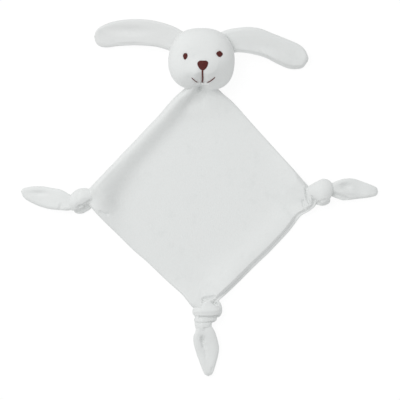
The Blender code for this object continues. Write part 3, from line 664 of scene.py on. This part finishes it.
def rim_form(distance, rim):
    """Height share over the distance in from a rim: rounded off over its width, or a low lip and then a step."""
    if np.isscalar(rim):
        return rounded(distance, rim)
    lip, lip_width, step_width = rim
    return lip * rounded(distance, 1.2) + (1 - lip) * smooth((distance - lip_width) / step_width)


def leaf(name, form, grid, material):
    """A puffed two-layer leaf between two side curves that meet at its end.

    form gives (height of its middle, height of its top over that, depth of its bottom under it) in mm, over
    (share of the length, share across from -1 to 1, plan).
    """
    rows, columns = grid
    shares = 1 - (1 - np.linspace(0, 1, rows) ** 0.9) ** 1.25
    first, second = (through([on_plan(*point) for point in side], shares) for side in LEAF_SIDES[name])
    across = crowded(columns)
    weight = ((across + 1) / 2)[None, :, None]
    plan = first[:, None] * (1 - weight) + second[:, None] * weight
    share = np.broadcast_to(shares[:, None], plan.shape[:2])
    across = np.broadcast_to(across[None, :], plan.shape[:2])
    width = np.linalg.norm(second - first, axis=1)[:, None]
    run = run_along((first + second) / 2)
    to_end = (run[-1] - run)[:, None]
    from_first = (1 + across) * width / 2
    from_second = (1 - across) * width / 2
    full = 1
    for distance, rim in zip((from_first, from_second, to_end), LEAF_RIMS[name]):
        full = full * rim_form(distance, rim)
    plump = np.minimum(rounded(np.minimum(from_first, from_second), 2.2), rounded(to_end, 2.2))
    level, top, bottom = form(share, across, plan)
    front = np.dstack([plan, level + top * full])
    back = np.dstack([plan, np.minimum(np.maximum(level - bottom * plump, LEAF_GAP), level)])
    piece = pillow(f"{name}_cloth", front, back, material)
    return piece


def droop(share, low):
    """Height of an ear's middle line over the share of its length, from the seam down to low."""
    return SEAM_HEIGHT + (low - SEAM_HEIGHT) * (0.6 * smooth((share + 0.02) / 0.82) + 0.4 * share**1.8)


def left_ear(share, across, plan):
    tilt = 1.4 + 3.4 * (1 - smooth((share - 0.3) / 0.7))
    level = droop(share, LEFT_EAR_END) + across * tilt + 0.8 * across**2
    top = LEFT_EAR_TOP - 0.4 * smooth((0.2 - across) / 1.2)
    top = top + relief("ear_left", plan) + 0.35 * ripple(plan, 19.0, 3.1)
    return level, top, EAR_BOTTOM + 0.2 * ripple(plan, 15.0, 5.2)


def right_ear(share, across, plan):
    tilt = 1.4 + 2.4 * smooth(share * 1.3)
    level = droop(share, RIGHT_EAR_END) - across * tilt + 0.5 * across**2
    thinner = (2.4 - 2.6 * smooth((share - 0.25) / 0.3)) * smooth((across + 0.45) / 1.35)
    # a crease runs across the root, beside the head
    px, py = pixels(plan)
    crease = 1.2 * hump((px - 229.5) - 0.5 * (py - 42), 2.4) * smooth((54 - py) / 6) * smooth((py - 33) / 5)
    top = RIGHT_EAR_TOP - thinner + relief("ear_right", plan) - crease + 0.35 * ripple(plan, 19.0, 7.7)
    return level, top, EAR_BOTTOM + 0.2 * ripple(plan, 15.0, 9.2)


def build_ears():
    # the left ear takes the velour with painted shade, a darker copy of the same cloth
    for name, form, material in (("ear_left", left_ear, VELOUR_PAINTED_SHADE), ("ear_right", right_ear, VELOUR)):
        piece = leaf(name, form, EAR_GRID, material)
        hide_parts(f"{name}_front_panel", f"{name}_back_panel")
        bend(piece)


def build_tips():
    for side, (extra, seed) in TIPS.items():
        name = f"tip_{side}"

        def form(share, across, plan):
            sink = (TIP_END_HEIGHT - TIP_ROOT_HEIGHT) * smooth((share - 0.05) / 0.6)
            thickness = TIP_THICKNESS - 1.0 * smooth(share / 0.5) - 0.6 * smooth((share - 0.7) * 4)
            top = thickness + extra + relief(name, plan) + 0.3 * ripple(plan, 9.0, seed)
            return TIP_ROOT_HEIGHT + sink + 0.6 * across**2, top, thickness * 0.8

        piece = leaf(name, form, TIP_GRID, VELOUR)
        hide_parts(name)
        bend(piece)


# Blanket

LAYER = 2.0
THROAT_HALF = 5.2
THROAT_LIFT = THROAT_HEIGHT - LAYER
NECK_HALF = 2.4
NECK_LIFT = SEAM_HEIGHT - NECK_HALF - LAYER
CORNER_FADE = 36.0
CHIN_GUESS = -30.4
# name: (length that stays up, fall after it, phase of its pleats)
THROATS = {"left": (3, 20, 0.6), "right": (1, 13, 2.1), "bottom": (1, 12, 4)}
# name: (flat corner's place, set back, drift, heading in degrees, half width where it is bunched)
CORNERS = {
    "top": ((0, 127), 15.4, 0, 90, 17.6),
    "left": ((-119, 0), 8.5, 1.5, 180, 11),
    "right": ((117, 3), 11.5, 0, 15, 13),
    "bottom": ((0, -118), 13, 5, -90, 13),
}
# Each side of the blanket: a straight line between two places in the photograph, the direction inward in
# the plan, and rows of (share of the line, mm inward from it) of the cloth's edge
SIDES = {
    "upper_left": (
        (183, 91), (91, 188), (0.725, -0.688),
        ((-0.15, 0.5), (0, -0.8), (0.06, -1.7), (0.12, -1.9), (0.18, -1.6), (0.25, -0.9), (0.4, -1), (0.5, -0.7),
         (0.6, -0.9), (0.8, -0.8), (1, -0.8), (1.15, 0)),
    ),
    "upper_right": (
        (220, 91), (306, 183), (-0.735, -0.678),
        ((-0.15, 0.5), (0, -0.3), (0.06, -0.6), (0.12, -1.7), (0.18, -2), (0.25, -1.8), (0.4, -1.4), (0.6, -1.2),
         (0.7, -1.1), (0.85, -1), (0.95, -0.5), (1, -0.6), (1.15, -0.5)),
    ),
    "lower_left": (
        (101, 218), (192, 307), (0.70, 0.714),
        ((-0.15, 0.6), (-0.08, 0.8), (0, -0.1), (0.08, -0.3), (0.2, -0.2), (0.32, -0.4), (0.4, 0), (0.5, 0.9),
         (0.7, 1.2), (0.85, 2.1), (0.9, 1.5), (0.96, 0.4), (1, 0.5), (1.15, 0.5)),
    ),
    "lower_right": (
        (298, 217), (220, 297), (-0.716, 0.698),
        ((-0.2, -4.5), (-0.12, -4.5), (-0.055, -3.5), (0, -1.3), (0.04, -1.3), (0.08, -2.2), (0.12, -3),
         (0.2, -3.8), (0.4, -4.1), (0.5, -3.7), (0.6, -3.3), (0.8, -3), (0.9, -2.4), (0.95, -1.8), (1, -1.6),
         (1.15, 0)),
    ),
}
# Roll along each side: height, distance in from the edge, and reach
ROLLS = {
    "upper_left": (10, 5, 11.5), "upper_right": (0.7, 9, 9), "lower_left": (0.5, 7, 8), "lower_right": (4.6, 7, 16),
}
BLANKET_LINES = 190
# shares of the lines that are added close to each edge, where the cloth rounds off
EDGE_LINES = np.array([0.0009, 0.0022, 0.004, 0.0062, 0.009])


def chin_line(x):
    """Y of the chin's outline over this x, in mm from the head's middle: a guess that is made closer each time."""
    angle = np.arctan2(CHIN_GUESS, x - HEAD_X)
    for _ in range(5):
        radius = head_radius(angle)
        angle = np.arctan2(-np.sqrt(np.maximum(radius**2 - (x - HEAD_X) ** 2, 1)), x - HEAD_X)
    return head_radius(angle) * np.sin(angle)


def gather(corner, flat):
    """(shift, distance back from the corner's end, distance aside) of flat places, as a corner is bunched."""
    reach, set_back, drift, heading, half_width = corner
    turn = math.radians(heading)
    along = np.array([math.cos(turn), math.sin(turn)])
    across = np.array([-math.sin(turn), math.cos(turn)])
    offset = flat - reach
    back = np.maximum(-(offset @ along), 0)
    aside = offset @ across
    inset = np.maximum(back - np.abs(aside), 0)
    beyond = back - half_width
    new_back = (np.hypot(beyond, inset) + beyond) / 2
    throat = reach - along * set_back + across * drift
    target = throat - along * new_back[..., None] + across * aside[..., None]
    shift = (target - flat) * (1 - smooth(beyond / CORNER_FADE))[..., None]
    return shift, new_back, aside


def blanket_lines():
    """Shares over one side of the blanket, closer together near both edges."""
    bent = 0.55 * np.linspace(-1, 1, BLANKET_LINES) + 0.45 * crowded(BLANKET_LINES)
    return np.unique(np.concatenate([(bent + 1) / 2, EDGE_LINES, 1 - EDGE_LINES]))


def borders(plan):
    """The border of the blanket's grid on each of its sides."""
    return {"upper_left": plan[:, -1:], "upper_right": plan[-1:], "lower_left": plan[:1], "lower_right": plan[:, :1]}


def side_frame(side):
    """(start, direction along, length, direction inward) of a side's line in the plan."""
    start, end, inward, _ = SIDES[side]
    start, end = np.array(on_plan(*start)), np.array(on_plan(*end))
    length = np.linalg.norm(end - start)
    return start, (end - start) / length, length, np.array(inward) / np.hypot(*inward)


def edge_offset(side, share):
    """Mm inward from the side's line of the cloth's edge, smooth between its rows."""
    dense = through(SIDES[side][3], np.linspace(0, 1, 200))
    return np.interp(share, dense[:, 0], dense[:, 1])


def across_neck(back, aside):
    """Share of the gathered top's half width, from 0 at its middle to 1 at its sides."""
    return np.abs(aside) / (CORNERS["top"][4] + back)


def blanket_plan(u, v):
    """The plan of the blanket's grid, and (distance back, distance aside) of its places for each corner."""
    near = {"top": u * v, "left": (1 - u) * v, "right": u * (1 - v), "bottom": (1 - u) * (1 - v)}
    flat = sum(np.array(CORNERS[name][0]) * share[..., None] for name, share in near.items())
    plan = flat.copy()
    backs = {}
    for name, corner in CORNERS.items():
        shift, *backs[name] = gather(corner, flat)
        plan = plan + shift
    # the top is tucked under the chin and follows its outline
    back, aside = backs["top"]
    arch = np.maximum(1 - across_neck(back, aside) ** 2, 0) ** 1.6
    follow = chin_line(plan[..., 0]) - chin_line(HEAD_X + NOTCH_X)
    plan[..., 1] += (follow + 3.2 * (1 - arch) ** 2 + 1.2) * hump(back, 12)
    # the sides go where they are in the photograph
    from_side = {"upper_left": 1 - v, "upper_right": 1 - u, "lower_left": u, "lower_right": v}
    moves = np.zeros_like(plan)
    for side, border in borders(plan).items():
        start, along, length, inward = side_frame(side)
        offset = border - start
        share = (offset @ along) / length
        shift = edge_offset(side, share) - offset @ inward
        shift = shift * smooth((share + 0.2) / 0.1) * smooth((1.2 - share) / 0.1)
        moves = moves + inward * (shift * (1 - smooth(from_side[side] / 0.35)))[..., None]
    return plan + moves, backs


def gathered_heights(backs, edge):
    """(lift, half thickness, pleats) in mm near the neck and the throats, over the distance in from the edge."""
    back, aside = backs["top"]
    cape = 0.3 + 0.7 * np.maximum(1 - across_neck(back, aside) ** 4, 0) ** 1.3
    lift = NECK_LIFT * cape * (0.3 * np.exp(-((back / 5) ** 1.1)) + 0.7 * np.exp(-((back / 21) ** 1.5)))
    thickness = LAYER + (NECK_HALF - LAYER) * hump(back, 20)
    pleats = 0.0
    for name, (flat_length, fall, phase) in THROATS.items():
        back, aside = backs[name]
        level = np.maximum(back - THROAT_HALF, 0)
        lift = lift + THROAT_LIFT * swell(np.maximum(back - flat_length, 0), 0, fall)
        thickness = thickness + (THROAT_HALF - LAYER) * swell(level, 0, 15)
        fan = np.arctan2(aside, back + 10)
        gathered = np.cos(fan * 15 + phase) * 0.5 + np.cos(fan * 26 + 2 * phase) * 0.25
        pleats = pleats + 0.06 * gathered * hump(level, 24) * smooth(edge / 5)
    return lift, thickness, pleats


def roll_heights(plan, distance, share):
    """Height in mm of the rolls along the edges, over the distance in from each side and the share along it."""
    height, ridge, fall = ROLLS["upper_left"]
    along = share["upper_left"]
    # this roll widens towards its lower end and fades out at the left knot
    width = 11.2 + 2.5 * np.clip(along, 0, 1) + 6.5 * smooth((along - 0.6) / 0.4) - 2.8 * hump(along, 0.14)
    stretched = distance["upper_left"] * 12.5 / width
    rolls = (height - 1.6 * hump(along, 0.15)) * swell(np.maximum(stretched, ridge), ridge, fall)
    rolls = rolls * smooth((1.08 - along) / 0.12) * (1 - smooth((stretched - 36) / 12))
    height, ridge, fall = ROLLS["lower_right"]
    along = share["lower_right"]
    lower = (height + 3.0 * hump(along - 0.84, 0.24)) * swell(distance["lower_right"], ridge, fall)
    rolls = rolls + lower * smooth((along + 0.02) / 0.1) * smooth((1.04 - along) / 0.12)
    for side in ("upper_right", "lower_left"):
        height, ridge, fall = ROLLS[side]
        rolls = rolls + height * swell(distance[side], ridge, fall) * smooth(share[side] / 0.5)
    return rolls + relief("left_collar", plan)


def build_blanket():
    lines = blanket_lines()
    plan, backs = blanket_plan(*np.meshgrid(lines, lines, indexing="ij"))
    distance, share = {}, {}
    for side, border in borders(plan).items():
        start, along, length, inward = side_frame(side)
        distance[side] = np.maximum((plan - border) @ inward, 0)
        share[side] = ((plan - start) @ along) / length
    edge = np.minimum.reduce(list(distance.values()))
    end = np.minimum.reduce([back for back, _ in backs.values()])
    rim = np.minimum(edge, end)

    lift, thickness, pleats = gathered_heights(backs, edge)
    rolls = roll_heights(plan, distance, share)
    # the inside of the upper left roll falls in a fold that starts at the gathered chin
    from_chin = 1 - smooth((pixels(plan)[1] - 90) / 26)
    under_chin = relief("under_chin", plan) + relief("roll_inside", plan) * from_chin
    waves = 0.3 * ripple(plan, 50.0, 2.3) + 0.12 * ripple(plan, 21.0, 8.1)
    creases = pressed(plan, THROAT_CREASES)
    # how far each side rounds off: wide where the edge is lifted or turned under
    full = rounded(distance["upper_left"], 4.6) * rim_form(distance["lower_right"], (0.24, 2.2, 3.1))
    full = full * rounded(distance["upper_right"], 2.6) * rounded(distance["lower_left"], 2.4)
    full = full * rounded(end, thickness)
    plump = rounded(rim, 2)
    middle = LAYER + lift
    top = middle + full * (thickness + rolls + pleats + under_chin - creases + waves * smooth(rim / 12))
    low = middle - plump * thickness + (0.4 * rolls + 0.35 * pleats) * smooth(rim / 5)
    front = np.dstack([plan, top])
    behind = np.dstack([plan, np.minimum(np.maximum(low, BROAD_GAP), top - 0.6 * plump)])
    piece = pillow("blanket_cloth", front, behind, VELOUR)
    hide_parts("blanket_front_panel", "blanket_back_panel")
    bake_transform(piece)


# Knots

# The bunches of cloth that each knot is pressed from: places as (pixel, pixel, height, radius), how flat the
# bunch is, how deep its pleats are, and the seed of their places
KNOT_STRANDS = {
    "left": (
        (((95, 197.5, 8, 4.5), (88, 196.5, 10, 7.4), (81, 197.5, 10.3, 8.9), (76, 201.5, 10, 8.4),
          (74.8, 206, 8.2, 7), (76, 209.4, 6, 4.6)), 1, 0.12, 0.4),
        (((92, 203, 3.4, 3.2), (87, 206.4, 2.9, 4.3), (80, 208.4, 3.2, 5.4), (74, 207.6, 3.8, 4.6)), 0.55, 0.08, 1.9),
        (((84, 201, 7.5, 8.2), (76, 201.8, 8.4, 8.6), (70, 201.8, 8.2, 7.8), (66.5, 201.4, 7.8, 5)), 0.74, 0.08, 3),
        (((91, 199, 6, 6), (82, 199, 6.2, 7.5), (72, 201, 6, 6.5)), 0.62, 0.2, 0),
    ),
    "right": (
        (((306.8, 191.8, 8.8, 6.4), (311.5, 191.8, 9.6, 7.4), (317, 191.3, 10.2, 10), (323, 191.5, 10.4, 12.8),
          (327.5, 192.3, 9.8, 11.6), (332, 193.5, 8, 6)), 0.74, 0.08, 0.2),
        (((309, 200.5, 5.4, 2.6), (315, 201.2, 5.2, 3.4), (322, 200.6, 5.4, 5.6),
          (329.5, 197, 5.4, 4.8)), 1, 0.1, 2.2),
        (((301, 193.5, 8, 3), (306, 194.5, 8, 4), (312, 194.5, 8.2, 4)), 0.6, 0.05, 0),
        (((323, 190.5, 7.6, 7), (328.5, 190, 7.8, 7), (332.5, 189.8, 7.4, 5)), 0.7, 0.2, 1),
        (((310, 193, 6.4, 8), (320, 193, 6.4, 11), (329, 192.5, 6, 8)), 0.58, 0.2, 0),
        (((303, 209.5, 4.6, 2.6), (308.5, 206.5, 5.6, 3.6), (314, 202.5, 6.2, 3.4)), 1, 0.2, 4),
    ),
    "bottom": (
        (((193.8, 312.8, 5, 3.6), (198, 311.6, 9.2, 5.8), (206, 311.4, 11.4, 6.5), (214, 310.6, 10.2, 6.4),
          (219.5, 309.2, 6, 4)), 1, 0.2, 0.7),
        (((194.6, 319.5, 4.6, 2.8), (199, 319.9, 8.4, 3.3), (206, 320, 9.9, 3.5), (212, 319.2, 8.4, 3.4),
          (216.3, 317.8, 4.6, 2.6)), 1, 0.1, 0),
        (((204, 314, 8, 8.8), (203.2, 321, 8.6, 8.6), (203.2, 326, 8.5, 8.3),
          (203.8, 331.5, 7.6, 6)), 0.74, 0.2, 1.5),
        (((196.5, 303.8, 7.2, 4), (202.5, 304, 9, 5.2), (208.5, 303.6, 9.2, 5.2), (215, 303, 7.6, 4)), 1, 0.2, 2),
        (((214.5, 300.5, 6.8, 2.8), (217.6, 305, 7.6, 3.6), (217.9, 311, 7.2, 4.2),
          (215.5, 317, 5.6, 3.2)), 1, 0.2, 0.5),
        (((205, 303, 6, 9), (206, 310, 6.2, 12.5), (205, 317, 6, 9)), 0.55, 0.2, 0),
    ),
}
# (points in pixels, depth, half width) of the creases between the folds of each knot
KNOT_CREASES = {
    "left": (
        (((79, 206.4), (82.5, 205.4), (86.5, 203.6), (90, 201)), 2.2, 1.8),
        (((82, 210), (85.5, 208.6), (88.5, 206.2)), 1.6, 2.6), (((79.2, 190.5), (78.3, 195), (78, 199.5)), 0.7, 3),
    ),
    "right": (
        (((317.5, 203.5), (321.5, 201.2), (326, 200.4)), 0.9, 2.2),
        (((305.8, 188.5), (306.2, 193.5), (306.9, 198.5), (309.6, 203.8)), 2.4, 1.7),
        (((307, 196.6), (311.5, 197)), 1.5, 1.6), (((309.5, 203.8), (313.5, 205.2)), 1.2, 1.8),
    ),
    "bottom": (
        (((199.5, 316.8), (206, 317), (212, 316.7), (219, 315.6)), 1.8, 1.3),
        (((195.5, 322.6), (204, 322.9), (213.5, 321.8)), 1.6, 1.3),
        (((191, 304.6), (195.5, 305.4), (200.5, 306.4)), 1.4, 1.3), (((204, 328.3), (209, 328.7)), 0.8, 1),
        (((203, 301.2), (204.8, 299.2), (209, 298.2), (214.5, 297.4)), 2.2, 2),
        (((204.8, 299), (203.4, 303.2)), 2.4, 2.4), (((212, 301.3), (217, 304.4)), 2, 1.8),
    ),
}
# the same for the blanket's cloth where it runs into the knots
THROAT_CREASES = (
    (((100.5, 211.8), (103.5, 213.4), (107.5, 214.4)), 1.5, 2),
    (((302.9, 201), (303.6, 205.5), (305.4, 209.5)), 2, 2),
    (((305.8, 188.5), (306.2, 193.5), (307.2, 198.5), (309.6, 203.8)), 2.9, 1.9),
    (((203, 300.2), (205, 298.6), (209, 298), (214.5, 297.2)), 2.6, 2.4),
)
STRAND_RINGS, STRAND_SIDES = 46, 40
STRAND_FOLDS = 7
KNOT_VOXEL = 0.55
KNOT_SMOOTHING = 3


def strand(places, flatten, pleat, seed):
    """(verts, faces) of a bunch of cloth along its places: lobed like gathered fabric, with rounded ends."""
    shares = np.linspace(0, 1, STRAND_RINGS)
    path = through([(*on_plan(px, py), z) for px, py, z, _ in places], shares)
    radius = through([(100.0 * step, place[3]) for step, place in enumerate(places)], shares)[:, 1]
    turns = np.linspace(0, 2 * math.pi, STRAND_SIDES, endpoint=False)
    rings = []
    for step, along in enumerate(headings(path)):
        side = np.cross(along, (0.02, 0.01, 1))
        side /= np.linalg.norm(side)
        up = np.cross(side, along)
        lobes = np.cos(turns * STRAND_FOLDS + seed + step * 0.03) + 0.6 * np.cos(turns * (STRAND_FOLDS + 4) + 2 * seed)
        to_end = max(abs(shares[step] - 0.5) * 2 - 0.7, 0)
        reach = (radius[step] + pleat * lobes) * math.sqrt(max(1 - to_end**2 / 0.09, 0.02))
        ring = np.cos(turns)[:, None] * side + flatten * np.sin(turns)[:, None] * up
        rings.append(path[step] + reach[:, None] * ring)
    return np.vstack(rings), ring_faces(STRAND_RINGS, STRAND_SIDES)


def pressed(places, creases):
    """Depth in mm at places of the plan, of creases given as rows of (points in pixels, depth, half width)."""
    x, y = places[..., 0], places[..., 1]
    depth = np.zeros(x.shape)
    for points, deep, half_width in creases:
        line = through([on_plan(*point) for point in points], np.linspace(0, 1, 24))
        nearest = np.full(x.shape, np.inf)
        for start, end in zip(line, line[1:]):
            nearest = np.minimum(nearest, to_line(x, y, start, end))
        depth = depth + deep * hump(nearest, half_width)
    return depth


def carve(mesh, creases):
    """Press creases into the upper side of a knot."""
    places = np.array([vertex.co[:] for vertex in mesh.vertices]) / MM
    normals = np.array([vertex.normal[:] for vertex in mesh.vertices])
    depth = pressed(places, creases)
    upper = smooth((places[:, 2] - 5) / 3) * smooth(normals[:, 2] * 2 + 0.6)
    places -= normals * (depth * upper)[:, None]
    mesh.vertices.foreach_set("co", (places * MM).ravel())
    mesh.update()


def build_knots():
    for side, strands in KNOT_STRANDS.items():
        name = f"knot_{side}"
        verts, faces = merge([strand(*row) for row in strands])
        verts[:, 2] = np.maximum(verts[:, 2], KNOT_GAP)
        piece = add_mesh(f"{name}_cloth", verts, faces, VELOUR)
        press = piece.modifiers.new("press", "REMESH")
        press.mode = "VOXEL"
        press.voxel_size = KNOT_VOXEL * MM
        relax = piece.modifiers.new("relax", "SMOOTH")
        relax.iterations = KNOT_SMOOTHING
        graph = bpy.context.evaluated_depsgraph_get()
        mesh = bpy.data.meshes.new_from_object(piece.evaluated_get(graph))
        piece.modifiers.clear()
        piece.data = mesh
        carve(mesh, KNOT_CREASES[side])
        mesh.shade_smooth()
        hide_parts(name)
        bend(piece)


# Floor, light and camera, in metres

FLOOR_SIZE = 12
FLOOR_DROP = 0.0004
# (tone, glow) of the floor as the camera sees it, and as it lights the toy
FLOOR_SEEN = (0.13, 0.9)
FLOOR_LIT = (0.8, 0.14)
SKY_COLOUR = (0.99, 1.0, 1.0, 1)
SKY_STRENGTH = 0.62
WHITE = (1, 1, 1, 1)
KEY_SIZE = 1.5
KEY_POWER = 18.0
KEY_AZIMUTH = math.radians(140)
KEY_ELEVATION = math.radians(57)
KEY_DISTANCE = 2.2
CAMERA_CLIP = 40


def camera_or(tree):
    """1 for camera, glossy and transmission rays."""
    path = add_node(tree, "ShaderNodeLightPath")
    total = path.outputs["Is Camera Ray"]
    for name in ("Is Glossy Ray", "Is Transmission Ray"):
        total = add_node(tree, "ShaderNodeMath", total, path.outputs[name], operation="MAXIMUM").outputs[0]
    return total


def glowing(tree, tone, glow):
    """A matt surface of a grey tone that also glows by itself."""
    matt = add_node(tree, "ShaderNodeBsdfDiffuse", Color=(tone, tone, tone, 1))
    light = add_node(tree, "ShaderNodeEmission", Color=WHITE, Strength=glow)
    return add_node(tree, "ShaderNodeAddShader", matt.outputs[0], light.outputs[0]).outputs[0]


def choose(tree, lit, seen, output):
    """One shader as it lights the scene, and another as the camera and reflections see it."""
    choice = add_node(tree, "ShaderNodeMixShader", camera_or(tree), lit, seen)
    add_node(tree, output, Surface=choice.outputs[0])


def build_stage():
    bpy.ops.mesh.primitive_plane_add(size=FLOOR_SIZE, location=(0, 0, -FLOOR_DROP))
    floor = bpy.context.object
    floor.name = "floor"
    material, tree = new_material("floor_white")
    tree.nodes.clear()
    choose(tree, glowing(tree, *FLOOR_LIT), glowing(tree, *FLOOR_SEEN), "ShaderNodeOutputMaterial")
    floor.data.materials.append(material)

    world = bpy.data.worlds.new("studio")
    bpy.context.scene.world = world
    world.use_nodes = True
    tree = world.node_tree
    tree.nodes.clear()
    sky = add_node(tree, "ShaderNodeBackground", Color=SKY_COLOUR, Strength=SKY_STRENGTH)
    white = add_node(tree, "ShaderNodeBackground", Color=WHITE)
    choose(tree, sky.outputs[0], white.outputs[0], "ShaderNodeOutputWorld")

    lamp = bpy.data.lights.new("key", "AREA")
    lamp.shape = "SQUARE"
    lamp.size = KEY_SIZE
    lamp.energy = KEY_POWER
    key = add_object("key", lamp)
    aside, up = KEY_DISTANCE * math.cos(KEY_ELEVATION), KEY_DISTANCE * math.sin(KEY_ELEVATION)
    key.location = (aside * math.cos(KEY_AZIMUTH), aside * math.sin(KEY_AZIMUTH), up)
    key.rotation_euler = (-key.location).to_track_quat("-Z", "Y").to_euler()

    # the camera looks straight down, and its picture is PICTURE_PX mm wide on the table
    data = bpy.data.cameras.new("photo")
    camera = add_object("photo", data)
    middle_x, middle_y = on_plan(PICTURE_PX / 2, PICTURE_PX / 2)
    camera.location = (middle_x * MM, middle_y * MM, CAMERA_HEIGHT)
    data.lens = data.sensor_width * CAMERA_HEIGHT / (PICTURE_PX * MM)
    data.clip_end = CAMERA_CLIP
    bpy.context.scene.camera = camera
    bpy.context.scene.view_settings.view_transform = "Standard"


build_head()
build_face()
build_ears()
build_tips()
build_blanket()
build_knots()
build_stage()
